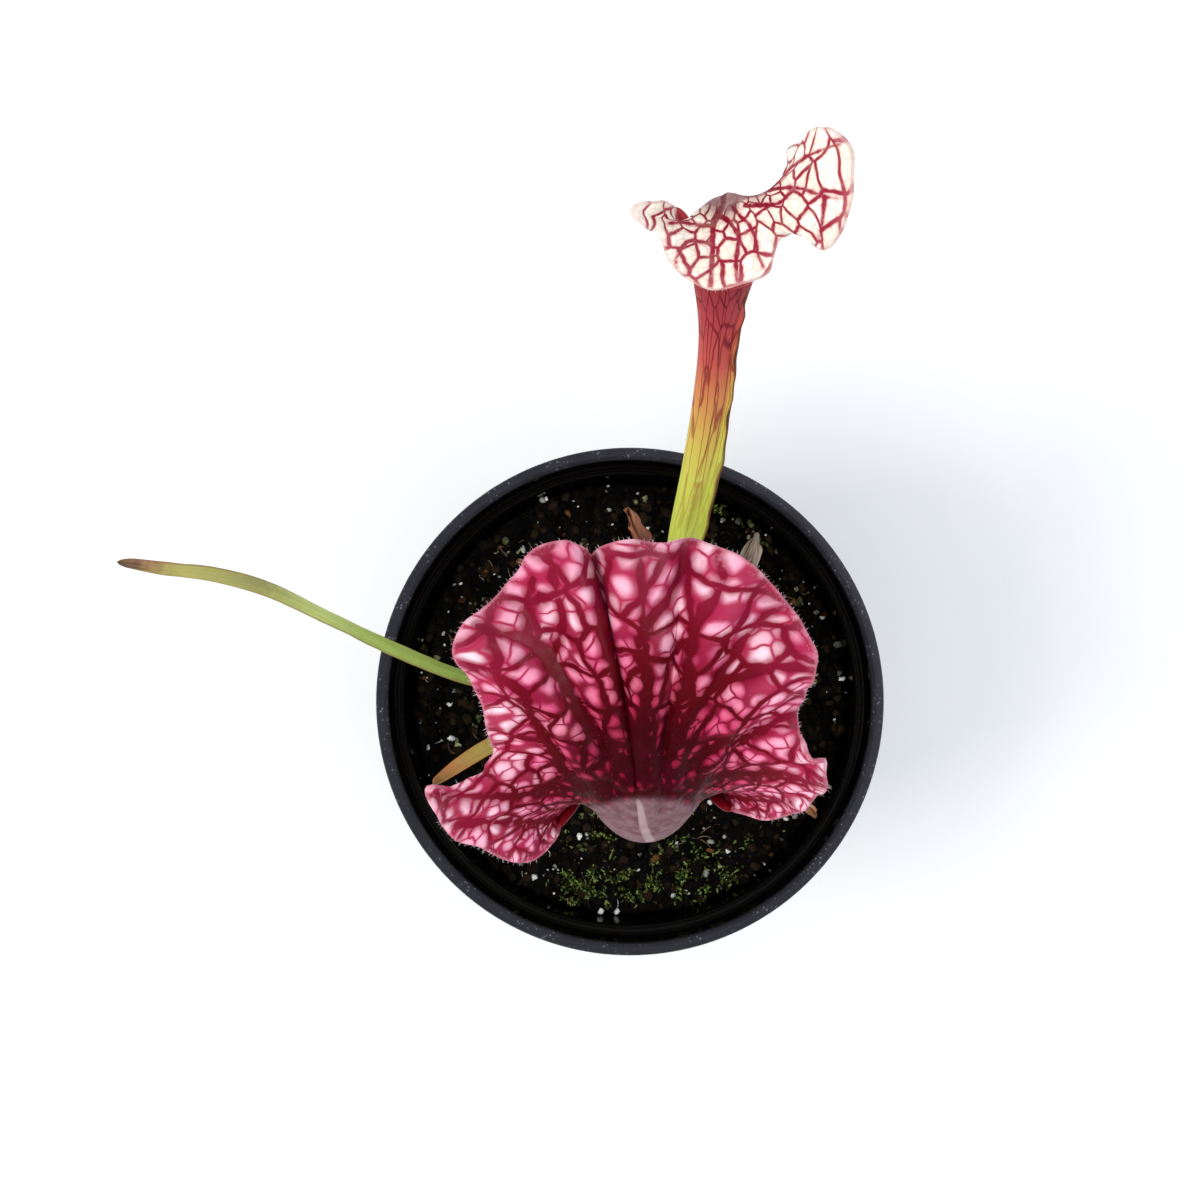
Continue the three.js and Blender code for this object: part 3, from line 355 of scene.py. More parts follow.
def finish_material(add, shade, rough, bump=None, relief=0.0001, strength=1.0, **constants):
    """The surface shader, with its bump of that height in metres and its plain settings."""
    inputs = {"Base Color": shade, "Roughness": rough}
    if bump is not None:
        inputs["Normal"] = add("Bump", {"Height": bump, "Distance": relief, "Strength": strength})
    for name, value in constants.items():
        inputs[name.replace("_", " ")] = value
    add("OutputMaterial", [add("BsdfPrincipled", inputs)])
    return add.material


def mesh_from(bm, name):
    mesh = bpy.data.meshes.new(name)
    bm.to_mesh(mesh)
    bm.free()
    return mesh


def in_scene(name, data):
    added = bpy.data.objects.new(name, data)
    bpy.context.scene.collection.objects.link(added)
    return added


def object_from(bm, name, material, slot_name, *replaced):
    """Makes the finished piece of a bmesh in metres."""
    piece = in_scene(name, mesh_from(bm, name))
    piece.data.shade_smooth()
    piece.data.materials.append(material)
    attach(piece, BODY)
    if replaced:
        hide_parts(*replaced)
    return piece


def start_mesh(numbers=(), vectors=()):
    """An empty bmesh with room for the facts that its vertices will keep."""
    bm = bmesh.new()
    for name in numbers:
        bm.verts.layers.float.new(name)
    for name in vectors:
        bm.verts.layers.float_vector.new(name)
    return bm


def sheet(bm, columns, rows, place):
    """A grid whose vertices go where place(across, up) says, both from 0 to 1.

    place returns points in millimetres and a dict of facts to keep at the vertices.
    """
    made = bmesh.ops.create_grid(bm, x_segments=columns, y_segments=rows, size=0.5)["verts"]
    where = np.array([(v.co.x + 0.5, v.co.y + 0.5) for v in made])
    across = np.round(where[:, 0] * columns) / columns
    up = np.round(where[:, 1] * rows) / rows
    points, facts = place(across, up)
    for v, p in zip(made, points):
        v.co = Vector(p) * MM
    for name, values in facts.items():
        layer = bm.verts.layers.float.get(name) or bm.verts.layers.float_vector.get(name)
        values = np.asarray(values, float)
        for v, value in zip(made, values if values.ndim else np.full(len(made), values)):
            v[layer] = value
    return made


def weld(bm, distance=0.005):
    """Merges doubles, drops what has no area and turns all faces outwards. In millimetres."""
    bmesh.ops.remove_doubles(bm, verts=bm.verts, dist=distance * MM)
    bmesh.ops.dissolve_degenerate(bm, dist=distance * MM, edges=bm.edges)
    bmesh.ops.recalc_face_normals(bm, faces=bm.faces)


# ------------------------------------------------------------------------------ pot
def pot_inner_radius(z):
    return FOOT - WALL + (LEDGE_RADIUS - FOOT + WALL) * (z - FLOOR) / (COLLAR - FLOOR)


def plastic_material(settings):
    # black polypropylene, injection moulded: glossy inside, the rim matt and dusty; the rim's lighter grey
    # is partly scuffing and partly painted light on the lit top, and the near-black below it is painted
    # shade
    add, place = new_material("moulded_black_polypropylene")
    height = add("SeparateXYZ", [place], output="Z")
    rim = add("MapRange", [height, (HEIGHT - 2.5) * MM, (HEIGHT - 0.6) * MM])
    grain = add("TexNoise", sized(place, 0.35, 2.0))
    specks = add("TexVoronoi", sized(place, 0.8))
    clouds = add("TexNoise", sized(place, 5, 5.0))
    dust = add("MapRange", [specks, 0.3, 0.12])
    dust = add("Math MULTIPLY", [dust, add("MapRange", [clouds, 0.4, 0.62])])
    dust = add("Math MULTIPLY", [dust, rim])
    # the rim's grey is lighter than the plastic below it, partly from scuffs and partly as painted light on
    # its lit top
    scuffed_and_lit = add("Mix", [clouds, "#18181e", "#2e2e36"])
    shade = add("Mix", [rim, (*settings.colour, 1), scuffed_and_lit])
    shade = add("Mix", [add("Math MULTIPLY", [dust, 0.5]), shade, "#8a8a94"])
    rough = add("MapRange", [rim, 0.0, 1.0, 0.12, 0.65])
    return finish_material(
        add, shade, rough, grain, relief=0.04 * MM, strength=0.4, IOR=1.49, Specular_IOR_Level=0.09,
    )


def build_pot(settings):
    """The nursery pot: a spun wall with its rolled rim, ledge and drainage holes."""
    rim, top, ledge = RIM, HEIGHT, COLLAR + WALL
    inner = rim - settings.lip / MM
    profile = [
        (0.01, 0), (FOOT - 1.0, 0), (FOOT - 0.3, 0.3), (FOOT, 1.0),
        (LEDGE_RADIUS + WALL, COLLAR - 0.6), (LEDGE_RADIUS + WALL + 0.4, COLLAR - 0.15),
        (rim - 1.2, COLLAR), (rim - 0.7, COLLAR + 0.2), (rim - 0.6, COLLAR + 0.7),
        (rim - 0.05, top - 1.4), (rim, top - 0.8), (rim - 0.25, top - 0.25), (rim - 0.8, top),
        (inner + 0.5, top - 0.05), (inner, top - 0.5), (inner - 0.15, top - 1.2),
        (inner - 0.5, ledge + 0.7), (inner - 0.75, ledge + 0.2), (inner - 1.2, ledge),
        *[(LEDGE_RADIUS + 1 - math.sin(a), ledge - 1 + math.cos(a))
          for a in (math.radians(15 * k) for k in range(7))],
        (pot_inner_radius(FLOOR + 1), FLOOR + 1), (pot_inner_radius(FLOOR) - 1, FLOOR), (0.01, FLOOR),
    ]
    bm = start_mesh()
    verts = [bm.verts.new((r * MM, 0, z * MM)) for r, z in profile]
    edges = [bm.edges.new(pair) for pair in zip(verts, verts[1:])]
    bmesh.ops.spin(
        bm, geom=verts + edges, cent=(0, 0, 0), axis=(0, 0, 1), steps=180, angle=math.tau, use_merge=True,
    )
    weld(bm, 0.02)
    pot = object_from(bm, "nursery_pot", plastic_material(settings), "pot_plastic", "pot")

    # the drainage holes are cut by rods
    rods = start_mesh()
    for count, ring, radius in DRAIN_HOLES:
        for k in range(count):
            a = math.tau * (k + 0.5) / count
            at = Matrix.Translation((ring * MM * math.cos(a), ring * MM * math.sin(a), 0))
            bmesh.ops.create_cone(
                rods, cap_ends=True, segments=32, radius1=radius * MM, radius2=radius * MM,
                depth=8 * MM, matrix=at,
            )
    cutter = in_scene("drain_rods", mesh_from(rods, "drain_rods"))
    cut = pot.modifiers.new("drain_holes", "BOOLEAN")
    cut.object, cut.operation, cut.solver = cutter, "DIFFERENCE", "EXACT"
    graph = bpy.context.evaluated_depsgraph_get()
    whole = bpy.data.meshes.new_from_object(pot.evaluated_get(graph))
    pot.modifiers.remove(cut)
    pot.data = whole
    whole.set_sharp_from_angle(angle=math.radians(35))
    bpy.data.objects.remove(cutter)


# ----------------------------------------------------------------------------- soil
def clod_waves():
    """The low waves of the soil's surface, drawn as the CAD model draws them."""
    state = CLOD_SEED
    draws = []
    for _ in range(14 * 3):
        state = (state * 1664525 + 1013904223) % 4294967296
        draws.append(state / 4294967296)
    return [(math.tau * a, 5 + 9 * b, math.tau * c) for a, b, c in zip(*[iter(draws)] * 3)]


WAVES = clod_waves()


def from_crown(x, y):
    return np.hypot(x - CROWN_CENTRE[0], y - CROWN_CENTRE[1])


def soil_height(x, y):
    """The CAD soil's height at x and y, in millimetres."""
    height = SOIL_LEVEL + SOIL_MOUND * (1 - smooth(8, 26, from_crown(x, y)))
    for angle, length, phase in WAVES:
        along = x * math.cos(angle) + y * math.sin(angle)
        height = height + 0.3 * CLOD_HEIGHT * np.sin(math.tau * along / length + phase)
    return height


def fine_soil(x, y):
    """The soil's height with its clods and crumbs."""
    flat = np.column_stack([x, y, np.zeros_like(x)])
    clods = ripples(flat, 3.2, 1)
    crumbs = ripples(flat, 1.1, 2)
    return soil_height(x, y) + 1.1 * np.maximum(clods, -0.35) + 0.5 * crumbs


def ground(x, y):
    """The soil's height under one point."""
    return float(fine_soil(np.array([x]), np.array([y]))[0])


def soil_material(settings):
    # moist peat: fibrous, nearly black, matt with a few wet glints
    add, place = new_material("moist_peat")
    lumps = add("TexNoise", sized(place, 2.2, 6.0))
    bits = add("TexVoronoi", sized(place, 0.9))
    fine = add("TexNoise", sized(place, 0.5, 4.0))
    shade = add("ValToRGB", [lumps], stops={
        0.4: "#030202", 0.55: (*settings.colour, 1), 0.68: "#17120a", 0.78: "#2b2817",
    })
    shade = add("Mix", [add("MapRange", [fine, 0.64, 0.78]), shade, "#34332a"])
    height = add("Math ADD", [bits, fine])
    rough = add("MapRange", [lumps, -0.3, 0.55])
    return finish_material(add, shade, rough, height, relief=0.35 * MM, Specular_IOR_Level=0.03)


def build_soil(settings):
    """The peat: a clodded surface over a plug that fills the pot."""
    edge_radius = pot_inner_radius(SOIL_LEVEL - 1) - 0.4
    top_share = 0.93

    def place(across, up):
        a = math.tau * across
        over = up < top_share
        r = edge_radius * np.clip(up / top_share, 0, 1)
        x, y = r * np.cos(a), r * np.sin(a)
        z = fine_soil(x, y)
        # below the edge the plug follows the wall, then closes under the middle
        down = np.clip((up - top_share) / (1 - top_share), 0, 1)
        low = FLOOR + 0.3
        wall_z = z + (low - z) * np.clip(down / 0.6, 0, 1)
        wall_r = pot_inner_radius(wall_z) - 0.4
        inwards = 1 - np.clip((down - 0.6) / 0.4, 0, 1)
        r = np.where(over, r, wall_r * inwards)
        z = np.where(over, z, wall_z)
        return np.column_stack([r * np.cos(a), r * np.sin(a), z]), {}

    bm = start_mesh()
    sheet(bm, 260, 130, place)
    weld(bm)
    object_from(bm, "peat_soil", soil_material(settings), "peat_soil", "soil")


def scatter(count, draw, low=2.0, high=39.0):
    """Places spread over the soil, clear of the crown, as (x, y, z) in millimetres."""
    spots = []
    while len(spots) < count:
        r = math.sqrt(draw.uniform(low**2, high**2))
        a = draw.uniform(0, math.tau)
        x, y = r * math.cos(a), r * math.sin(a)
        if from_crown(x, y) > CROWN_CLEAR:
            spots.append((x, y))
    x, y = np.array(spots).T
    return np.column_stack([x, y, fine_soil(x, y)])


def turned(at, scale, draw):
    """A place in millimetres with a random turn and a scale along each axis, as a matrix in metres."""
    turn = Matrix.Rotation(draw.uniform(0, math.tau), 4, Vector([draw.gauss(0, 1) for _ in range(3)]))
    size = Matrix.Diagonal((*(s * MM for s in scale), 1))
    return Matrix.Translation(Vector(at) * MM) @ turn @ size


def pour(part, bm):
    """Moves the shapes of a small bmesh into a large one, which keeps the building quick."""
    mesh = mesh_from(part, "part")
    bm.from_mesh(mesh)
    bpy.data.meshes.remove(mesh)


def lumps_object(name, material, spots, size, detail, flatness, draw):
    """Many small rough lumps in one piece, each with its own shade."""
    bm = start_mesh(["shade"])
    for first in range(0, len(spots), SHAPES_AT_ONCE):
        part = start_mesh(["shade"])
        layer = part.verts.layers.float["shade"]
        for at in spots[first : first + SHAPES_AT_ONCE]:
            base = size()
            scale = [base * draw.uniform(flatness, 1.2) for _ in range(3)]
            lump = bmesh.ops.create_icosphere(
                part, subdivisions=detail, radius=0.5, matrix=turned(at, scale, draw),
            )["verts"]
            shade = draw.random()
            for v in lump:
                v[layer] = shade
                v.co += Vector([draw.uniform(-1, 1) for _ in range(3)]) * base * 0.11 * MM
        pour(part, bm)
    object_from(bm, name, material, "peat_soil")


def grain_material(name, stops, rough, grain_mm, relief_mm):
    """A matt crumbly stuff whose lumps differ in shade."""
    add, place = new_material(name)
    mottle = add("TexNoise", sized(place, grain_mm, 5.0))
    shade = add("Attribute", attribute_name="shade")
    shade = add("Math MULTIPLY_ADD", [shade, 0.9, -0.2])
    shade = add("Math MULTIPLY_ADD", [mottle, 0.5, shade])
    shade = add("ValToRGB", [shade], stops=stops)
    rough = add("MapRange", [mottle, *rough])
    return finish_material(add, shade, rough, mottle, relief=relief_mm * MM, Specular_IOR_Level=0.04)


def build_crumbs(settings):
    """Loose crumbs of peat, perlite grains, grown-over clods and chips of bark."""
    draw = random.Random(11)

    def groups_of_clods():
        spots = []
        for x, y, z in scatter(70, draw, 12, 38.5):
            spots += [(x + draw.gauss(0, 0.8), y + draw.gauss(0, 0.8), z) for _ in range(draw.randint(3, 8))]
        return [p for p in spots if math.hypot(p[0], p[1]) < 39]

    # piece, material, its colours, roughness, grain and relief; then places, size, detail and flatness
    for name, stuff, stops, rough, grain, relief, spots, size, detail, flatness in (
        # dry peat crumbs: matt, brown to black
        ("peat_crumbs", "peat_crumbs", {0.1: "#030202", 0.5: "#0c0805", 0.8: "#241a0e"},
         (-0.5, 0.6), 0.6, 0.2, lambda: scatter(settings.crumbs, draw),
         lambda: draw.uniform(0.5, 1.9) ** 1.3, 2, 0.7),
        # expanded perlite: white volcanic glass foam, dusty and porous, stained by the peat
        ("perlite_grains", "expanded_perlite", {0.15: "#4d514a", 0.45: "#a2a79f", 0.8: "#eceee9"},
         (-0.6, 0.5), 0.35, 0.15, lambda: scatter(settings.grains, draw, 3, 39.5),
         lambda: 0.35 + 1.1 * draw.random() ** 2.5, 2, 0.5),
        # clods grown over by algae: dull olive grey, rough
        ("algae_clods", "algae_clods", {0.1: "#161709", 0.5: "#474a2b", 0.9: "#93966e"},
         (-0.5, 0.6), 0.4, 0.3, groups_of_clods, lambda: draw.uniform(0.4, 1.4), 2, 0.35),
        # pine bark: flat reddish brown flakes
        ("bark_chips", "pine_bark", {0.1: "#120905", 0.5: "#3a200f", 0.9: "#6b4526"},
         (-0.5, 0.7), 0.8, 0.25, lambda: scatter(70, draw, 6, 39),
         lambda: draw.uniform(0.8, 2.4), 1, 0.25),
    ):
        material = grain_material(stuff, stops, rough, grain, relief)
        lumps_object(name, material, spots(), size, detail, flatness, draw)


def moss_material():
    # moss: small translucent leaves, yellow green at the tips
    add, place = new_material("moss_leaves")
    mottle = add("TexNoise", sized(place, 1.5, 3.0))
    mixed = add("Math MULTIPLY", [add("Attribute", attribute_name="shade"), 0.6])
    mixed = add("Math MULTIPLY_ADD", [mottle, 0.5, mixed])
    shade = add("ValToRGB", [mixed], stops={0.2: "#141b0b", 0.5: "#3a4a1a", 0.8: "#849a4c"})
    rough = add("MapRange", [mottle, -0.6, 0.9])
    return finish_material(
        add, shade, rough, Specular_IOR_Level=0.08, Subsurface_Weight=0.1, Subsurface_Scale=0.5 * MM,
    )


def build_moss(settings):
    """Tufts of moss, most of them along the near side of the pot, and single sprigs."""
    draw = random.Random(5)
    bm = start_mesh(["shade"])
    layer = bm.verts.layers.float["shade"]
    tufts = []
    while len(tufts) < settings.tufts:
        x, y = draw.gauss(3, 13), draw.gauss(-33, 4.5)
        if draw.random() < 0.22:
            x, y = draw.uniform(-36, 36), draw.uniform(-36, 36)
        if math.hypot(x, y) < 38.5 and from_crown(x, y) > 12:
            tufts.append((x, y))
    for x, y in tufts:
        spread = draw.uniform(0.4, 1.2)
        for _ in range(draw.randint(9, 20)):
            px, py = x + draw.gauss(0, spread), y + draw.gauss(0, spread)
            if math.hypot(px, py) > PEAT_EDGE:
                continue
            length = draw.uniform(0.6, 1.4)
            lean = Matrix.Rotation(draw.uniform(0.2, 1.25), 4, "X")
            turn = Matrix.Rotation(draw.uniform(0, math.tau), 4, "Z")
            flat = Matrix.Diagonal((1, 0.35, 1, 1))
            at = Matrix.Translation(Vector((px, py, ground(px, py) - 0.1)) * MM)
            up = Matrix.Translation((0, 0, length / 2 * MM))
            leaf = bmesh.ops.create_cone(
                bm, cap_ends=True, segments=5, radius1=draw.uniform(0.22, 0.42) * MM, radius2=0.02 * MM,
                depth=length * MM, matrix=at @ turn @ lean @ flat @ up,
            )["verts"]
            shade = draw.random()
            for v in leaf:
                v[layer] = shade
    object_from(bm, "moss_tufts", moss_material(), "peat_soil")


def strand(bm, points, thickness, sides=5, facts=None):
    """A thread along points in millimetres, tapering at both ends, with plain facts to keep."""
    at = np.array(points, float)
    rows = len(at) * 3

    def place(across, up):
        here, along = track(at, up), direction_at(at, up, 0.01)
        side = unit(np.cross(along, (0.13, 0.31, 0.94)))
        face = np.cross(along, side)
        a = math.tau * across
        r = thickness * np.sqrt(np.clip(4 * up * (1 - up), 0.02, 1))
        ring = side * (np.cos(a) * r)[:, None] + face * (np.sin(a) * r)[:, None]
        return here + ring, facts or {}

    sheet(bm, sides, rows, place)


def fibre_material(name, base, tip):
    """Dry plant fibre: pale, matt, lightly mottled."""
    add, place = new_material(name)
    mottle = add("TexNoise", sized(place, 2.5, 3.0))
    shade = add("Mix", [add("MapRange", [mottle, 0.35, 0.65]), base, tip])
    return finish_material(add, shade, add("MapRange", [mottle, -0.6, 0.9]))


def build_fibres(settings):
    """Loose root fibres that lie on the peat, and a few pale hairs shed by the leaves."""
    draw = random.Random(23)
    for name, base, tip, count, thickness, reach in (
        ("root_fibres", "#3a2413", "#7a5a35", settings.fibres, 0.09, 3.4),
        ("shed_hairs", "#b9b6ad", "#efeee9", 14, 0.05, 2.4),
    ):
        bm = start_mesh()
        for x, y, _ in scatter(count, draw, 8, 37):
            heading = draw.uniform(0, math.tau)
            bend = draw.uniform(-0.7, 0.7)
            path = []
            for k in range(6):
                path.append((x, y, ground(x, y) + 0.25 + 0.5 * math.sin(k * 1.3 + bend)))
                x += reach / 4 * math.cos(heading)
                y += reach / 4 * math.sin(heading)
                heading += bend
            if max(math.hypot(p[0], p[1]) for p in path) < 39.3:
                strand(bm, path, thickness)
        weld(bm, 0.001)
        object_from(bm, name, fibre_material(name, base, tip), "peat_soil")


# ------------------------------------------------------------------------- pitchers
# What a pitcher's vertices keep for its skin: their place along the leaf, and how far they lie
# from its veins, its neck, its margin and the like.
FACTS = ("rise", "vein", "midrib", "neck", "from_neck", "to_margin", "lip", "pale", "edge", "heart")

LIP_ROWS = 18
LIP_TURN = 235  # degrees that the lip rolls outwards and down

# What differs between the two hoods: colours, and the sizes of the net in its own plan.
NET_START = 4.0
NET_GROWTH = 0.45
FRONT_LOOK = {
    "meshes": 3.1, "finer": 2.1, "stir": 0.5, "share": 0.1, "neck_share": 0.08, "bite": 1.1,
    "blobs": (0.3, 0.64), "third": 0.95, "glow": 2.4, "blush": (4.0, 31.0), "dark": (13.0, 2.0),
    "first": (-0.15, -0.55), "beside": 0.9,
    "windows": {
        0.0: "#961838", 0.25: "#c83c68", 0.55: "#e26491", 1.0: "#ec90b0",
    },
    "pale": "#fbd8e4", "halo": "#971539",
    "third_vein": {0.0: "#460410", 0.4: "#7b0c28", 1.0: "#a82249"},
    "veins": {
        0.0: "#380107", 0.35: "#54030e", 0.8: "#6c091c", 1.0: "#80132e",
    },
    "hem": "#9c3a52", "dark_vein": "#340107", "brim": "#d58a9c",
    # the nape's mauve greys are painted sheen of its hairs seen at a slant; the pale midrib is a painted
    # highlight on its raised keel
    "nape_sheen": "#6b4a51", "nape_sheen_pale": "#82636a", "midrib": "#a28a8d",
    "lip": "#6d0916", "mottle": "#6a1230",
    "tube": {
        0.0: "#6b3326", 0.14: "#848c3a", 0.5: "#93944a",
        0.78: "#9c6c5c", 0.92: "#7a5860", 1.0: "#6d5057",
    },
    "tube_veins": {
        0.0: "#5c261d", 0.5: "#7f4c33", 0.85: "#7c333e", 1.0: "#64404a",
    },
}
BACK_LOOK = {
    "meshes": 3.6, "finer": 2.1, "stir": 0.32, "share": 0.085, "neck_share": 0.03, "bite": 0.25,
    "blobs": (0.95, 1.3), "third": 0.3, "glow": 1.8, "blush": (1.0, 11.0), "dark": (3.0, 0.5),
    "first": (0.0, -0.22), "beside": 0.4,
    "windows": {
        0.0: "#a58482", 0.25: "#cdbcae", 0.55: "#e6dfc9", 1.0: "#f2ebd9",
    },
    "pale": "#fbf8ef", "halo": "#dba09c",
    "third_vein": {0.0: "#a04a50", 1.0: "#cf8a8a"},
    "veins": {
        0.0: "#6a1c2c", 0.3: "#760f24", 0.7: "#86142a", 1.0: "#93253a",
    },
    "hem": "#b9606c", "dark_vein": "#71444a", "brim": "#e3b9b2",
    # the nape's mauve greys are painted sheen of its hairs seen at a slant
    "nape_sheen": "#7d565a", "nape_sheen_pale": "#9c7b78", "midrib": "#6b2a34",
    "lip": "#a83a40", "mottle": "#e0d4bd",
    "tube": {
        0.0: "#6d452a", 0.3: "#9cab44", 0.5: "#b3be50", 0.61: "#c3c758",
        0.68: "#c9b556", 0.75: "#c98d50", 0.83: "#be564c", 0.91: "#aa4044",
        1.0: "#882c36",
    },
    "tube_veins": {
        0.0: "#5f3520", 0.5: "#8f9338", 0.63: "#a3763a", 0.75: "#944034",
        0.9: "#741c28", 1.0: "#651a28",
    },
}


def tube_frame(shape, t):
    """Centre, direction, backward and sideward directions and radii of the tube at t."""
    here, along = track(shape["spine"], t), direction_at(shape["spine"], t)
    back = np.array(shape["back"], float)
    out = unit(back - along * (along @ back)[:, None])
    return here, along, out, np.cross(along, out)


def tube_point(shape, t, degrees, lift=0.0):
    """Points of the tube's middle surface: t from foot to mouth, degrees from the back."""
    here, along, out, side = tube_frame(shape, t)
    a = np.radians(degrees)
    drop = np.where(np.cos(a) > 0, shape["back_rise"], shape["front_drop"]) * np.cos(a)
    across = side * (np.sin(a) * (here[:, 3] + lift))[:, None]
    depth = out * (np.cos(a) * (here[:, 4] + lift))[:, None]
    return here[:, :3] + across + depth + along * (drop * smooth(0.72, 1, t))[:, None]


def margin_of(shape):
    """The hood's margin from corner to corner, and its share for each of 2001 steps along it."""
    corners = tube_point(shape, np.ones(2), np.array([-90.0, 90.0]))
    points = np.vstack([corners[:1], shape["margin"], corners[1:]])
    lengths = running_sum(norm(np.diff(points, axis=0), axis=1))
    turns = np.diff(np.arctan2(points[:, 1] - shape["middle"][1], points[:, 0] - shape["middle"][0]))
    turns = np.abs((turns + math.pi) % math.tau - math.pi)
    angles = running_sum(turns)
    share = 0.5 * lengths / lengths[-1] + 0.5 * angles / angles[-1]
    steps = np.linspace(0, 1, 2001)
    return points, steps, np.maximum.accumulate(track(share[:, None], steps)[:, 0])


def margin_at(margin, u):
    points, steps, share = margin
    return track(points, np.interp((np.clip(u, -1, 1) + 1) / 2, share, steps))


def hood_grid(shape, columns, rows):
    """The hood's middle surface as an array of points, rows from the neck to the margin."""
    u = np.linspace(-1, 1, columns + 1)
    last = shape["last_ray"]
    ray = np.clip(u, -last, last)
    margin = margin_of(shape)
    start = tube_point(shape, np.ones_like(ray), ray * 90)
    end = margin_at(margin, ray)
    sides = np.cos(ray * math.pi / 2)
    below = tube_point(shape, np.full_like(ray, 0.97), ray * 90)
    up = unit(unit(start - below) + np.array([0, 0, 1.0]))
    low, high = shape["neck_rise"]
    reach = norm(end - start, axis=1)
    rise = np.minimum(low + (high - low) * sides, 0.4 * reach)
    out = tube_frame(shape, np.ones(1))[2][0]
    first = start + up * rise[:, None] - out * (shape["neck_lean"] * sides)[:, None]
    across = np.hypot(*(end - start)[:, :2].T)
    outwards = end - np.column_stack([track(shape["focus"], (ray + 1) / 2), end[:, 2]])
    second = end - unit(outwards) * (shape["reach"] * across)[:, None]
    mean = np.mean([margin_at(margin, np.clip(ray + 0.05 * k, -1, 1))[:, 2] for k in range(-3, 4)], axis=0)
    lift = (mean - end[:, 2]) * (1 - shape["ripple"]) + shape["crown"] * sides
    second[:, 2] += lift * smooth(2, 16, across)
    v = np.linspace(0, 1, rows + 1)[:, None, None]
    grid = (1 - v) ** 3 * start + 3 * (1 - v) ** 2 * v * first + 3 * (1 - v) * v**2 * second + v**3 * end
    # beyond the last ray the hood is a fan from each corner of the mouth, out to the margin
    corners = np.where((u < 0)[:, None], margin[0][0], margin[0][-1])
    fan = np.clip((np.abs(u) - last) / (1 - last), 0, 1)[:, None]
    grid = grid * (1 - fan) + corners * fan
    grid += (margin_at(margin, u) - end * (1 - fan) - corners * fan) * v ** shape["lobe_turn"]
    slack = 0.9 * smooth(*shape["settled"], np.abs(u))[1:-1][None, :, None]
    for _ in range(shape["rounds"]):
        inner = grid[1:-1, 1:-1]
        mean = (grid[:-2, 1:-1] + grid[2:, 1:-1] + grid[1:-1, :-2] + grid[1:-1, 2:]) / 4
        grid[1:-1, 1:-1] = inner + slack * (mean - inner)
    return grid


def vein_depth(grid, veins):
    """How far each point lies outside the nearest strong vein, seen from above, in millimetres."""
    points = grid[..., :2].reshape(-1, 2)
    best = np.full(len(points), 9.0)
    for wide, narrow, path in veins:
        line = track(path, np.linspace(0, 1, 25))
        wiggle = ripples(np.column_stack([line, np.zeros(25)]), 4.0, 3) * 0.5
        line[1:-1, 0] += wiggle[1:-1]
        for k in range(24):
            a, b = line[k], line[k + 1]
            w = np.clip((points - a) @ (b - a) / max((b - a) @ (b - a), 1e-9), 0, 1)
            gap = norm(points - a - w[:, None] * (b - a), axis=1)
            best = np.minimum(best, gap - (wide + (narrow - wide) * (k + w) / 24))
    return best.reshape(grid.shape[:2])


def grid_normals(grid):
    """Unit normals of an array of points, towards the hood's upper side."""
    return unit(np.cross(np.gradient(grid, axis=1), np.gradient(grid, axis=0)))


def curled_tips(shape, grid):
    """How much each point belongs to one of the hood's pale, frilled tips."""
    near = [np.exp(-((grid[..., 0] - x) ** 2 + (grid[..., 1] - y) ** 2) / r**2) for x, y, r in shape["tips"]]
    return np.max(near, axis=0)


def dress_hood(shape, grid):
    """Adds the tissue that bulges between the veins and a finely waved margin.

    Returns the points and how far each lies outside the nearest strong vein.
    """
    rows, columns = grid.shape[0] - 1, grid.shape[1] - 1
    depth = vein_depth(grid, shape["veins"])
    normals = grid_normals(grid)
    v = np.linspace(0, 1, rows + 1)[:, None]
    around = running_sum(norm(np.diff(grid[-1], axis=0), axis=1))[None, :]
    u = np.abs(np.linspace(-1, 1, columns + 1))[None, :]
    middle = smooth(1.0, 0.86, u) * smooth(0.0, 0.25, v)
    pucker = shape["pucker"]
    ruffle = shape["ruffle"] * (1 + 2.5 * curled_tips(shape, grid))
    bulge = pucker * smooth(0.0, 1.8, depth) * smooth(1.0, 0.85, v)
    lumps = ripples(grid.reshape(-1, 3), 3.4, 4).reshape(rows + 1, columns + 1)
    waves = ruffle * smooth(0.72, 1.0, v) * (np.sin(around / 1.35) + 0.6 * np.sin(around / 0.83 + 1.0))
    return grid + normals * (middle * (bulge + 0.35 * pucker * lumps + waves))[..., None], depth


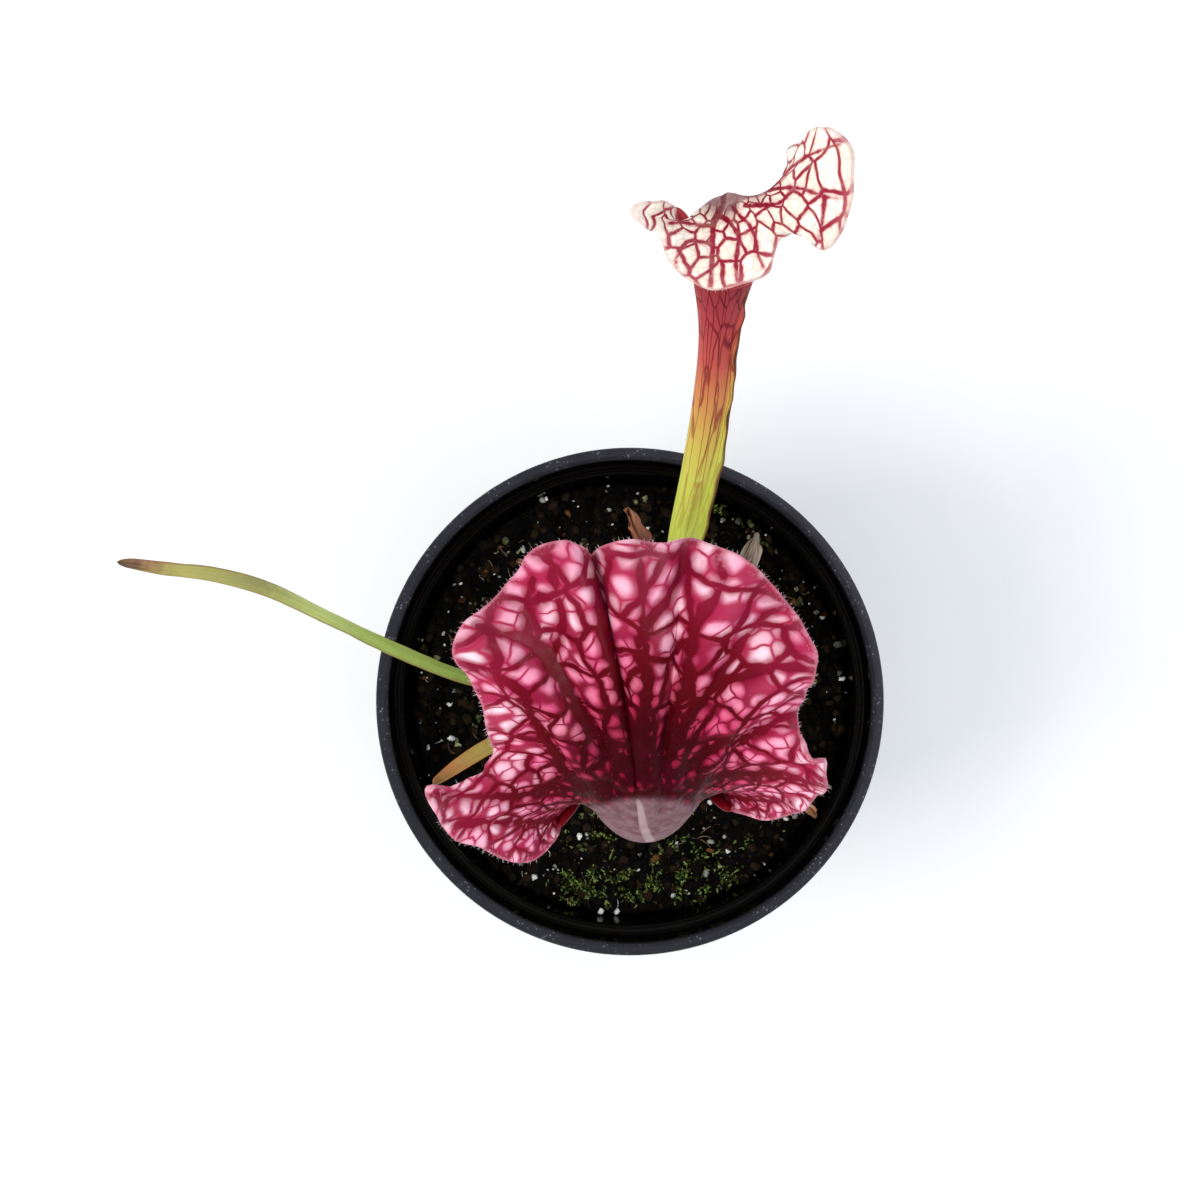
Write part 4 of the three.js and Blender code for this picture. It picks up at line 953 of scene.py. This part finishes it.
def pitcher_piece(shape, material, wall):
    """A pitcher leaf as one sheet: tube, wing, rolled lip, neck and hood, with its wall's thickness."""
    columns, tube_rows, hood_rows = shape["detail"]
    grid, depth = dress_hood(shape, hood_grid(shape, columns, hood_rows))
    run = np.concatenate([
        np.zeros((1, columns + 1)), np.cumsum(norm(np.diff(grid, axis=0), axis=2), axis=0),
    ])
    left = run[-1] - run
    tube_length = norm(np.diff(np.array(shape["spine"])[:, :3], axis=0), axis=1).sum()
    u_line = np.linspace(-1, 1, columns + 1)
    # the angle of each column in the flattened hood, from its arc two thirds of the way out
    row = 2 * hood_rows // 3
    arcs = norm(np.diff(grid[row], axis=0), axis=1) / (NET_START + (run[row, 1:] + run[row, :-1]) / 2)
    turn = running_sum(arcs)
    turn -= turn[columns // 2]
    cx, cy, rx, ry = shape["neck"]
    neck = smooth(1.12, 0.9, np.hypot((grid[..., 0] - cx) / rx, (grid[..., 1] - cy) / ry))
    midrib = vein_depth(grid, shape["midrib"])
    around = running_sum(norm(np.diff(grid[-1], axis=0), axis=1))
    *rolls, radius = shape["rolled"]
    from_ends = (around / rolls[0], (around[-1] - around) / rolls[1])
    rolled = smooth(1.15, 0.85, np.minimum(*from_ends))[None, :] * smooth(2.0, 0.8, left)
    pale = curled_tips(shape, grid)
    heart = np.hypot(grid[..., 0] - shape["heart"][0], grid[..., 1] - shape["heart"][1])

    bm = start_mesh(FACTS, ["tube_place", "net_place"])

    def net_place(angle, radius):
        # the net is finer towards the neck
        r = np.maximum(radius, 0.5) ** NET_GROWTH
        a = angle * NET_GROWTH
        return np.column_stack([r * np.cos(a), r * np.sin(a), np.zeros_like(r)])

    def tube_facts(t, degrees):
        here, _, _, _ = tube_frame(shape, t)
        a = np.radians(degrees)
        below = (1 - t) * tube_length
        return {
            "rise": t, "vein": 9.0, "midrib": 9.0, "neck": smooth(0.9, 1.0, t), "from_neck": -below,
            "to_margin": 30.0, "lip": 0.0, "pale": 0.0, "edge": 0.0, "heart": 0.0,
            "tube_place": np.column_stack([np.sin(a) * here[:, 3], np.cos(a) * here[:, 4], t * tube_length]),
            "net_place": net_place(np.interp(degrees / 90, u_line, turn), NET_START * np.exp(-below / 40)),
        }

    total = tube_rows + hood_rows

    def back_place(across, up):
        j = np.round(across * columns).astype(int)
        i = np.round(up * total).astype(int)
        t = np.clip(i / tube_rows, 0, 1)
        degrees = (2 * across - 1) * 90
        points = tube_point(shape, t, degrees)
        facts = tube_facts(t, degrees)
        over = i > tube_rows
        row = np.clip(i - tube_rows, 0, hood_rows)
        points[over] = grid[row, j][over]
        facts["rise"] = np.where(over, 1 + row / hood_rows, t)
        for name, values in (
            ("vein", depth), ("midrib", midrib), ("neck", neck), ("from_neck", run), ("to_margin", left),
            ("lip", rolled), ("pale", pale), ("heart", heart),
        ):
            facts[name] = np.where(over, values[row, j], facts[name])
        facts["net_place"][over] = net_place(turn[j], NET_START + run[row, j])[over]
        return points, facts

    sheet(bm, columns, total, back_place)

    front_total = tube_rows + LIP_ROWS

    def front_place(across, up):
        i = np.round(up * front_total).astype(int)
        t = np.clip(i / tube_rows, 0, 1)
        degrees = 90 + across * 180
        points = tube_point(shape, t, degrees)
        facts = tube_facts(t, np.where(degrees > 180, degrees - 360, degrees))
        curl = np.clip((i - tube_rows) / LIP_ROWS, 0, 1)
        a = np.radians(degrees)
        front = smooth(0.0, 0.5, -np.cos(a))
        bend = curl * math.radians(LIP_TURN)
        outwards = front * shape["roll"] * (1 - np.cos(bend))
        outwards += 0.25 * (1 - front) * curl * (1 - np.abs(np.sin(a)))
        _, along, out, side = tube_frame(shape, np.ones_like(t))
        points += (side * np.sin(a)[:, None] + out * np.cos(a)[:, None]) * outwards[:, None]
        points += along * (front * shape["roll"] * np.sin(bend))[:, None]
        facts["lip"] = np.where(i > tube_rows, 1.0, 0.0) * smooth(0, 0.25, front)
        facts["neck"] = 0.0
        return points, facts

    sheet(bm, columns // 2, front_total, front_place)
    weld(bm, 0.004)

    def wing_place(across, up):
        t = 0.08 + 0.9 * up
        height = track(np.array(shape["wing"])[:, None], t)[:, 0]
        wave = np.sin(t * tube_length / 2.6) + 0.6 * np.sin(t * tube_length / 1.1)
        wave *= shape["wing_wave"] * across**2 * smooth(0.1, 0.5, height)
        _, along, out, side = tube_frame(shape, t)
        lean = math.radians(shape["wing_lean"])
        away = side * math.sin(lean) + out * math.cos(lean)
        base = tube_point(shape, t, np.full_like(t, shape["wing_root"]), -0.15)
        points = base + away * (height * across)[:, None] + np.cross(along, away) * wave[:, None]
        points += away * (0.4 * wave)[:, None]
        facts = tube_facts(t, np.full_like(t, shape["wing_root"] - 360))
        facts["tube_place"][:, 1] += height * across
        # the wing is greener than the tube behind it, with a thin dark edge
        facts["rise"] = t - 0.06 * smooth(0.0, 0.5, across) * smooth(0.4, 0.7, t)
        facts["edge"] = smooth(0.72, 0.95, across) * smooth(0.1, 0.3, height)
        return points, facts

    sheet(bm, 8, tube_rows * 2, wing_place)

    # beside the mouth the hood's margin is rolled like the lip
    for share in from_ends:
        hem = grid[-1][share < 1]
        strand(bm, hem[:: max(len(hem) // 9, 1)], radius, 12, {"lip": 1.0, "from_neck": 5.0, "vein": 9.0})
    bmesh.ops.recalc_face_normals(bm, faces=bm.faces)
    name, node_name, slot_name = shape["names"]
    piece = object_from(bm, name, material, slot_name, node_name)
    thick = piece.modifiers.new("wall", "SOLIDIFY")
    thick.thickness, thick.offset, thick.use_rim, thick.use_quality_normals = wall, 0.0, True, True
    return grid


def pitcher_material(name, look, settings):
    # live leaf tissue: waxy skin over translucent flesh, its veins darker and a little raised
    add, place = new_material(name)
    net = add("Attribute", output="Vector", attribute_name="net_place")
    tube = add("Attribute", output="Vector", attribute_name="tube_place")
    rise, vein, midrib, neck, from_neck, to_margin, lip, pale, edge_of_wing, heart = (
        add("Attribute", attribute_name=fact) for fact in FACTS
    )

    # the net bends and varies, so its coordinates are stirred by noise
    stir = add("TexNoise", {"Vector": net, "Scale": look["meshes"] * 1.3, "Detail": 2.0}, "Color")
    amount = (look["stir"] / look["meshes"],) * 3
    bent = add("VectorMath MULTIPLY_ADD", [stir, amount, net])
    plan = {"Vector": bent, "Scale": look["meshes"], "Randomness": 0.9}
    edge = add("TexVoronoi", plan, feature="DISTANCE_TO_EDGE", voronoi_dimensions="2D")
    tone = add("TexVoronoi", plan, "Color", voronoi_dimensions="2D")
    finer = {"Vector": bent, "Scale": look["finer"] * look["meshes"], "Randomness": 0.85}
    fine_edge = add("TexVoronoi", finer, feature="DISTANCE_TO_EDGE", voronoi_dimensions="2D")
    fine_middle = add("TexVoronoi", finer, voronoi_dimensions="2D")
    fine_tone = add("TexVoronoi", finer, "Color", voronoi_dimensions="2D")

    # how much each point belongs to a vein of the three orders; the windows bite into the veins
    near = add("MapRange", [heart, 16.0, 4.0])
    wide = add("Math MULTIPLY_ADD", [near, look["neck_share"], look["share"]])
    narrow = add("Math MULTIPLY", [wide, 0.45])
    second = add("MapRange", [edge, wide, narrow])
    third = add("MapRange", [fine_edge, 0.1, 0.02, 0.0, look["third"]])
    between = add("MapRange", [fine_middle, *look["blobs"], 0.0, look["third"]])
    third = add("Math MAXIMUM", [third, between])
    bitten = add("Math MULTIPLY_ADD", [fine_middle, -look["bite"], vein])
    first = add("MapRange", [bitten, *look["first"]])

    # the tissue of the windows between them, palest at the margin
    outer = add("MapRange", [to_margin, 14.0, 0.0, 0.0, 9.0])
    outer = add("Math ADD", [outer, heart])
    reach = add("MapRange", [outer, *look["blush"]])
    window = add("ValToRGB", [reach], stops=look["windows"])
    light = add("MapRange", [tone, 0.2, 0.9])
    light = add("Math MULTIPLY", [light, add("MapRange", [fine_tone, 0.0, 0.9])])
    centre = add("MapRange", [fine_middle, 0.5, 0.05])
    light = add("Math MULTIPLY_ADD", [centre, 0.35, light])
    light = add("Math MULTIPLY", [light, reach], use_clamp=True)
    window = add("Mix", [light, window, look["pale"]])
    window = add("Mix", [add("Math MULTIPLY", [pale, 0.8]), window, look["pale"]])
    glow = add("Math MULTIPLY", [wide, look["glow"]])
    glow = add("MapRange", [edge, glow, narrow, 0.0, 0.75])
    beside = add("MapRange", [bitten, look["beside"], -0.2, 0.0, 0.75])
    window = add("Mix", [add("Math MAXIMUM", [glow, beside]), window, look["halo"]])
    lesser = add("ValToRGB", [reach], stops=look["third_vein"])
    window = add("Mix", [third, window, lesser])

    # the veins, darkest at the neck and palest at the margin
    veins = add("ValToRGB", [reach], stops=look["veins"])
    hem = add("MapRange", [to_margin, 2.5, 0.2, 0.0, 0.6])
    veins = add("Mix", [hem, veins, look["hem"]])
    mask = add("Math MAXIMUM", [first, second])
    hood = add("Mix", [mask, window, veins])
    dark = add("MapRange", [heart, *look["dark"]])
    dark = add("Math MULTIPLY", [dark, add("MapRange", [fine_middle, 0.05, 0.4, 0.3, 0.9])])
    hood = add("Mix", [dark, hood, look["dark_vein"]])
    brim = add("MapRange", [to_margin, 0.5, 0.1, 0.0, 0.5])
    hood = add("Mix", [brim, hood, look["brim"]])

    # the back of the neck is nearly plain, mottled paler, with its midrib: its dull mauve grey is painted
    # sheen, the glint of its hairs seen at a slant; the lengthwise coordinates drawn out here serve the
    # tube's veins
    drawn_out = add("Mapping", {"Vector": tube, "Scale": (1.0, 1.0, 0.035)})
    stir = add("TexNoise", {"Vector": tube, "Scale": 0.25, "Detail": 2.0}, "Color")
    drawn_out = add("VectorMath MULTIPLY_ADD", [stir, (0.4, 0.4, 0.2), drawn_out])
    streaks = add("TexNoise", sized(place, 1.1, 3.0))
    nape_sheen = add("Mix", [add("MapRange", [streaks, 0.3, 0.7]), look["nape_sheen"], look["nape_sheen_pale"]])
    # the midrib: pale on the large pitcher, where it is a painted highlight on the raised keel
    rib = add("MapRange", [midrib, 0.25, -0.1])
    nape_sheen = add("Mix", [rib, nape_sheen, look["midrib"]])
    hood = add("Mix", [neck, hood, nape_sheen])

    # the tube's veins run along it, with short links between them
    lines = add("TexVoronoi", [drawn_out, 0.0, 1.0], feature="DISTANCE_TO_EDGE")
    stem = add("ValToRGB", [rise], stops=look["tube"])
    stem_veins = add("ValToRGB", [rise], stops=look["tube_veins"])
    lines = add("MapRange", [lines, 0.1, 0.01])
    lines = add("Math MULTIPLY", [lines, add("MapRange", [rise, 0.3, 0.8])])
    stem = add("Mix", [lines, stem, stem_veins])
    # the tube's top blends into the painted sheen of the nape
    stem = add("Mix", [add("MapRange", [neck, 0.0, 1.0]), stem, nape_sheen])
    stem = add("Mix", [edge_of_wing, stem, look["tube_veins"][0.0]])

    mottle = add("TexNoise", sized(place, 1.4, 5.0))
    patches = add("MapRange", [mottle, 0.45, 0.8, 0.0, 0.2])
    hood = add("Mix", [patches, hood, look["mottle"]])
    shade = add("Mix", [add("MapRange", [from_neck, -0.6, 0.0]), stem, hood])
    shade = add("Mix", [lip, shade, look["lip"]])
    skin = add("TexNoise", sized(place, 0.25, 2.0))
    swollen = add("MapRange", [edge, 0.0, 0.35])
    swollen = add("Math MULTIPLY", [swollen, add("MapRange", [vein, -0.2, 1.0])])
    height = add("Math MULTIPLY_ADD", [skin, 0.1, swollen])
    rough = add("MapRange", [mottle, -0.6, 1.6])
    rough = add("Math MULTIPLY_ADD", [lip, -0.25, rough])
    return finish_material(
        add, shade, rough, height, relief=settings.relief, strength=0.8,
        IOR=1.42, Specular_IOR_Level=0.04, Subsurface_Weight=0.02, Subsurface_Scale=0.5 * MM,
    )


def hairs_on(shape, grid, length):
    """Fine white hairs: a fringe along the hood's margin and short ones over its upper side."""
    name, seed, fringe, surface, share = shape["hairs"]
    length *= share
    draw = random.Random(seed)
    normals = grid_normals(grid)
    rows, columns = grid.shape[0] - 1, grid.shape[1] - 1
    bm, part = start_mesh(), start_mesh()
    for k in range(fringe + surface):
        on_fringe = k < fringe
        i = rows - (draw.randint(0, 2) if on_fringe else int(rows * 0.8 * draw.random() ** 0.6))
        j = draw.randint(int(columns * 0.05), int(columns * 0.95))
        at, normal = Vector(grid[i, j]), Vector(normals[i, j])
        outwards = Vector(grid[i, j] - grid[max(i - 4, 0), j]).normalized()
        # a hair leans to the margin, and wanders
        lean = outwards * (1.2 if on_fringe else 0.5) + normal * draw.uniform(0.2, 1.1)
        lean = (lean + Vector([draw.gauss(0, 0.35) for _ in range(3)])).normalized()
        long = length * draw.uniform(0.5, 1.3) * (1.0 if on_fringe else 0.6)
        turn = lean.to_track_quat("Z", "Y").to_matrix().to_4x4()
        place = Matrix.Translation((at + normal * 0.2 + lean * long / 2) * MM) @ turn
        bmesh.ops.create_cone(
            part, segments=3, radius1=0.016 * MM, radius2=0.005 * MM, depth=long * MM, matrix=place,
        )
        if k % 60 == 59:
            pour(part, bm)
            part = start_mesh()
    pour(part, bm)
    object_from(bm, name, hair_material(), shape["names"][2])


def hair_material():
    # leaf hairs: clear to white, glossy along their length
    material = bpy.data.materials.get("leaf_hairs")
    if material is None:
        add, place = new_material("leaf_hairs")
        mottle = add("TexNoise", sized(place, 3))
        shade = add("Mix", [mottle, "#d9b9bd", "#f6eeee"])
        rough = add("MapRange", [mottle, -1.0, 1.2])
        material = finish_material(add, shade, rough, Subsurface_Weight=0.2, Subsurface_Scale=0.3 * MM)
    return material


def build_pitcher(shape, skin_name, look, settings):
    """One pitcher leaf in its skin, with the hairs on its hood."""
    skin = pitcher_material(skin_name, look, settings)
    hairs_on(shape, pitcher_piece(shape, skin, settings.wall), settings.hair / MM)


# --------------------------------------------------------------------------- blades
def blade_piece(shape, name, node_name, slot_name, seed, material):
    """A flat leaf with its keel, its waved edges and a rounded tip."""
    spine = shape["spine"]
    rows, columns = 170, 28
    lean = np.array(spine[-1][:2] + (0.0,)) - np.array(spine[0][:2] + (0.0,))
    side_way = np.cross((0, 0, 1.0), unit(lean))

    def place(across, up):
        # a torn end stops at a different place for each thread of the leaf
        c = np.cos(math.tau * across)
        tear = np.abs(ripples(np.column_stack([c * 2.1, 0 * c, 0 * c]), 0.5, seed)) + 0.25 * np.abs(c)
        reached = up - shape["torn"] * tear * smooth(0.6, 1.0, up)
        here, along = track(spine, reached), direction_at(spine, reached)
        side = unit(side_way - along * (along @ side_way)[:, None])
        turn = np.radians(here[:, 5])[:, None]
        side = side * np.cos(turn) + np.cross(along, side) * np.sin(turn)
        face = np.cross(along, side)
        a = math.tau * across
        flat = smooth(0.12, 0.4, up)
        blunt = np.clip((1 - up) / (0.03 if shape["torn"] == 0 else 0.006), 0, 1)
        tip = np.sqrt(blunt * (2 - blunt))
        s = np.sin(a)
        ripple = flat * shape["wave"] * np.abs(c) ** 3 * np.sin(up * 23 + np.where(c > 0, 0, 1.9))
        ridge = flat * shape["keel"] * np.maximum(0, 1 - 2.2 * np.abs(c)) * np.where(s > 0, 1, 0.4)
        ribs = 0.035 * flat * np.cos(c * 26)
        crumple = ripples(here[:, :3] + side * c[:, None] * 2, 2.6, seed) * shape["crumple"] * flat
        width = c * here[:, 3] * tip
        height = (s * (here[:, 4] + ridge) + ribs * np.sign(s)) * tip + ripple + crumple
        points = here[:, :3] + side * width[:, None] + face * height[:, None]
        return points, {"along": up, "across": c}

    bm = start_mesh(["along", "across"])
    sheet(bm, columns, rows, place)
    weld(bm, 0.001)
    object_from(bm, name, material, slot_name, node_name)


def blade_material(name, stops, edge_colour, edge_share, streak, rough):
    """Leaf skin with its colour along the leaf, its edges and its fine lengthwise streaks."""
    add, place = new_material(name)
    along = add("Attribute", attribute_name="along")
    across = add("Attribute", attribute_name="across")
    mottle = add("TexNoise", sized(place, 1.6, 5.0))
    shifted = add("Math MULTIPLY_ADD", [mottle, 0.08, along])
    shifted = add("Math SUBTRACT", [shifted, 0.04])
    shade = add("ValToRGB", [shifted], stops=stops)
    lines = add("CombineXYZ", [
        add("Math MULTIPLY", [across, 7.0]),
        add("Math MULTIPLY", [along, 6.0]),
    ])
    streaks = add("TexNoise", {"Vector": lines, "Scale": 1.0, "Detail": 3.0})
    seen = add("MapRange", [streaks, 0.42, 0.72, 0.0, 0.5])
    shade = add("Mix", [seen, shade, streak])
    side = add("Math ABSOLUTE", [across])
    hem = add("MapRange", [side, 0.78, 0.98, 0.0, edge_share])
    shade = add("Mix", [hem, shade, edge_colour])
    height = add("Math ADD", [streaks, mottle])
    rough = add("MapRange", [mottle, *rough])
    return finish_material(
        add, shade, rough, height, relief=0.15 * MM,
        Specular_IOR_Level=0.14, Subsurface_Weight=0.04, Subsurface_Scale=0.5 * MM,
    )


def build_blades(settings):
    """The long flat leaf, the short olive one and the three dry leaf ends."""
    # sizes, names and seed; then the skin: colours along the leaf, edge, streaks and roughness
    for shape, names, skin_name, stops, edge, edge_share, streak, rough in (
        # live leaf: satin, green, yellowing outwards, with a dry brown tip
        (PHYLLODE, ("flat_leaf_long", "phyllode_left", "leaf_green", 31), "green_leaf_skin",
         {0.0: "#5d4228", 0.12: "#566d22", 0.42: "#5c7224", 0.54: (*settings.leaf, 1), 0.66: "#c4d07e",
          0.75: "#98935a", 0.87: "#b7b267", 0.93: "#9a6f4c", 0.963: "#6b4339", 1.0: "#2a1618"},
         "#8a5a3a", 0.6, "#8c9e42", (-0.4, 1.1)),
        # live leaf, ageing: satin, olive, its edges orange
        (OLIVE_LEAF, ("flat_leaf_olive", "leaf_olive", "leaf_olive", 32), "olive_leaf_skin",
         {0.0: "#4f3c22", 0.2: "#7f8038", 0.6: "#9a9549", 0.8: "#a88c48", 0.9: "#a86d3f", 0.98: "#6b4427"},
         "#b06a36", 0.75, "#7a8238", (-0.4, 1.1)),
        # dead leaves: dry, matt, papery
        (DRIED_BROWN, ("dry_leaf_brown", "dried_leaf_brown", "dry_brown", 33), "dead_leaf_brown",
         {0.0: "#1d0c09", 0.5: "#3c1712", 0.75: "#5f2a22", 0.9: "#a0664a"},
         "#8e4a34", 0.6, "#1d0b08", (-0.7, 0.9)),
        (DRIED_PAPERY, ("dry_leaf_papery", "dried_leaf_papery", "dry_papery", 34), "dead_leaf_papery",
         {0.0: "#4d2c18", 0.55: "#7d5638", 0.75: "#a0765c", 0.84: "#59443d", 0.93: "#8f8274"},
         "#ab9684", 0.6, "#33241f", (-0.8, 0.8)),
        (DRIED_TAN, ("dry_leaf_tan", "dried_leaf_tan", "dry_tan", 35), "dead_leaf_tan",
         {0.0: "#4a2b18", 0.5: "#7d5130", 0.85: "#9c6d4c", 1.0: "#6d452c"},
         "#b98a66", 0.6, "#5f3a22", (-0.7, 0.9)),
    ):
        blade_piece(shape, *names, blade_material(skin_name, stops, edge, edge_share, streak, rough))


def build_rhizome(settings):
    """Bark-like skin on the crown that the leaves grow from."""
    # rhizome skin: dry brown scales of old leaf bases, matt
    add, place = new_material("rhizome_skin")
    drawn = add("Mapping", {"Vector": place, "Scale": (1 / (1.5 * MM), 1 / (1.5 * MM), 1 / (5 * MM))})
    scales = add("TexNoise", {"Vector": drawn, "Scale": 1.0, "Detail": 5.0})
    shade = add("ValToRGB", [scales], stops={
        0.3: "#0d0704", 0.5: (*settings.rhizome, 1), 0.7: "#4d2f1c",
    })
    rough = add("MapRange", [scales, -0.7, 0.8])
    material = finish_material(add, shade, rough, scales, relief=0.4 * MM, Specular_IOR_Level=0.2)
    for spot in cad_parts["rhizome"].material_slots:
        spot.material = material


# ---------------------------------------------------------------------------- stage
def lamp(name, at, towards, size, power, tint):
    """A soft box of that width and height which faces a point, in metres."""
    light = bpy.data.lights.new(name, "AREA")
    light.shape, (light.size, light.size_y) = "RECTANGLE", size
    light.energy, light.color = power, colour(tint)[:3]
    lamp_object = in_scene(name, light)
    lamp_object.location = at
    lamp_object.rotation_euler = (Vector(towards) - Vector(at)).to_track_quat("-Z", "Y").to_euler()
    return lamp_object


def build_stage(settings):
    """White table, soft light from the left and the camera straight above."""
    bm = start_mesh()
    bmesh.ops.create_grid(bm, x_segments=1, y_segments=1, size=2.0)
    table = in_scene("table_top", mesh_from(bm, "table_top"))
    # white laminate: matt, even
    add, place = new_material("matt_white_laminate")
    mottle = add("TexNoise", {"Vector": place, "Scale": 30.0})
    shade = add("Mix", [mottle, (*settings.floor, 1), "#fbfcfd"])
    rough = add("MapRange", [mottle, -1.5, 1.5])
    table.data.materials.append(finish_material(add, shade, rough, Specular_IOR_Level=0.05))

    world = bpy.data.worlds.new("studio")
    world.use_nodes = True
    background = world.node_tree.nodes["Background"]
    background.inputs["Color"].default_value = colour("#f5f8fb")
    background.inputs["Strength"].default_value = settings.ambient
    bpy.context.scene.world = world
    middle = (0.0, 0.0, 0.12)
    lamp("key_from_left", (-1.0, -0.24, 1.44), middle, (0.7, 0.7), settings.key, "#fff9f2")
    lamp("fill_from_right", (1.2, -0.5, 1.2), middle, (1.0, 1.0), settings.fill, "#eef3ff")
    # two far strips that glint on the glossy ledge inside the pot
    for name, azimuth, wide in (("glint_low", 15, 0.16), ("glint_high", 41, 0.1)):
        a = math.radians(azimuth)
        at = (0.5 * math.cos(a), 0.5 * math.sin(a), 0.55)
        strip = lamp(name, at, middle, (wide, 0.03), settings.glint * wide, "#ffffff")
        strip.visible_diffuse = False

    camera_data = bpy.data.cameras.new("overhead")
    camera_data.sensor_width = 36.0
    camera_data.lens = settings.lens
    camera_data.clip_start = 0.01
    camera = in_scene("overhead", camera_data)
    camera.location = (-5.3 * MM, 18.0 * MM, settings.camera_height)
    bpy.context.scene.camera = camera
    bpy.context.scene.view_settings.view_transform = "Standard"


# ------------------------------------------------------------------------- settings
def tint(name, description, code):
    return bpy.props.FloatVectorProperty(
        name=name, description=description, subtype="COLOR", size=3, min=0, max=1, default=colour(code)[:3],
    )


def length(name, description, millimetres):
    return bpy.props.FloatProperty(
        name=name, description=description, unit="LENGTH", precision=5, min=0, default=millimetres * MM,
    )


def amount(name, description, value):
    return bpy.props.FloatProperty(name=name, description=description, default=value, min=0)


def how_many(name, description, number):
    return bpy.props.IntProperty(name=name, description=description, default=number, min=0)


class PotSettings(bpy.types.PropertyGroup):
    lip: length("Lip width", "Width of the pot's flat rim", 2.0)
    # the plastic below the rim is near black: its own black, deepened by painted shade for the inside of the
    # pot
    colour: tint("Plastic", "Colour of the pot's plastic", "#020203")


class SoilSettings(bpy.types.PropertyGroup):
    colour: tint("Peat", "Main colour of the peat", "#080604")
    rhizome: tint("Rhizome", "Main colour of the crown's skin", "#27160d")
    crumbs: how_many("Crumbs", "Loose crumbs on the peat", 1500)
    grains: how_many("Perlite", "Perlite grains on the peat", 460)
    tufts: how_many("Moss", "Tufts of moss", 75)
    fibres: how_many("Fibres", "Loose root fibres", 60)


class LeafSettings(bpy.types.PropertyGroup):
    wall: length("Pitcher wall", "Thickness of the pitchers' wall", 0.55)
    relief: length("Vein relief", "How far the tissue bulges between the veins", 0.3)
    hair: length("Hair length", "Mean length of the hairs along a hood's margin", 0.45)
    leaf: tint("Leaf green", "Colour of the long leaf", "#98b153")


class StageSettings(bpy.types.PropertyGroup):
    floor: tint("Floor", "Colour of the floor", "#f3f5f7")
    key: amount("Key light", "Power from the left, in watts", 12.0)
    fill: amount("Fill light", "Power from the right, in watts", 2.5)
    glint: amount("Glints", "Power of the strips, in watts per metre", 40.0)
    ambient: amount("Ambient", "Strength of the room's light", 1.02)
    lens: amount("Lens", "Focal length in millimetres", 76.3)
    camera_height: length("Camera height", "Height of the camera over the floor", 530.0)


# ------------------------------------------------------------------------ operators
class PLANT_OT_pot(bpy.types.Operator):
    """Builds the nursery pot"""

    bl_idname = "plant.pot"
    bl_label = "Nursery Pot"

    def execute(self, context):
        build_pot(context.scene.plant_pot)
        return {"FINISHED"}


class PLANT_OT_soil(bpy.types.Operator):
    """Builds the peat with its crumbs, perlite, moss and fibres"""

    bl_idname = "plant.soil"
    bl_label = "Peat Soil"

    def execute(self, context):
        settings = context.scene.plant_soil
        for build in (build_soil, build_crumbs, build_moss, build_fibres, build_rhizome):
            build(settings)
        return {"FINISHED"}


class PLANT_OT_pitcher_front(bpy.types.Operator):
    """Builds the large pitcher with its pink hood"""

    bl_idname = "plant.pitcher_front"
    bl_label = "Large Pitcher"

    def execute(self, context):
        build_pitcher(FRONT, "pink_pitcher_skin", FRONT_LOOK, context.scene.plant_leaves)
        return {"FINISHED"}


class PLANT_OT_pitcher_back(bpy.types.Operator):
    """Builds the smaller pitcher with its white hood"""

    bl_idname = "plant.pitcher_back"
    bl_label = "Smaller Pitcher"

    def execute(self, context):
        build_pitcher(BACK, "white_pitcher_skin", BACK_LOOK, context.scene.plant_leaves)
        return {"FINISHED"}


class PLANT_OT_blades(bpy.types.Operator):
    """Builds the flat leaves and the dry leaf ends"""

    bl_idname = "plant.blades"
    bl_label = "Flat Leaves"

    def execute(self, context):
        build_blades(context.scene.plant_leaves)
        return {"FINISHED"}


class PLANT_OT_stage(bpy.types.Operator):
    """Builds the floor, the lights and the camera"""

    bl_idname = "plant.stage"
    bl_label = "Stage"

    def execute(self, context):
        build_stage(context.scene.plant_stage)
        return {"FINISHED"}


class PLANT_PT_panel(bpy.types.Panel):
    """Lists the pieces of the plant"""

    bl_label = "Pitcher Plant"
    bl_idname = "PLANT_PT_panel"
    bl_space_type = "VIEW_3D"
    bl_region_type = "UI"
    bl_category = "Plant"

    def draw(self, context):
        for group, operators in PANEL_ROWS:
            settings = getattr(context.scene, group)
            for name in settings.bl_rna.properties.keys():
                if name not in {"rna_type", "name"}:
                    self.layout.prop(settings, name)
            for operator in operators:
                self.layout.operator(operator)


PANEL_ROWS = (
    ("plant_pot", ["plant.pot"]),
    ("plant_soil", ["plant.soil"]),
    ("plant_leaves", ["plant.pitcher_front", "plant.pitcher_back", "plant.blades"]),
    ("plant_stage", ["plant.stage"]),
)
GROUPS = {
    "plant_pot": PotSettings, "plant_soil": SoilSettings, "plant_leaves": LeafSettings,
    "plant_stage": StageSettings,
}
CLASSES = (
    *GROUPS.values(), PLANT_OT_pot, PLANT_OT_soil, PLANT_OT_pitcher_front, PLANT_OT_pitcher_back,
    PLANT_OT_blades, PLANT_OT_stage, PLANT_PT_panel,
)


def register():
    for each in CLASSES:
        bpy.utils.register_class(each)
    for name, group in GROUPS.items():
        setattr(bpy.types.Scene, name, bpy.props.PointerProperty(type=group))


def unregister():
    for name in GROUPS:
        delattr(bpy.types.Scene, name)
    for each in reversed(CLASSES):
        bpy.utils.unregister_class(each)


def main():
    register()
    bpy.ops.plant.stage()
    bpy.ops.plant.pot()
    bpy.ops.plant.soil()
    bpy.ops.plant.pitcher_front()
    bpy.ops.plant.pitcher_back()
    bpy.ops.plant.blades()


if __name__ == "__main__":
    main()
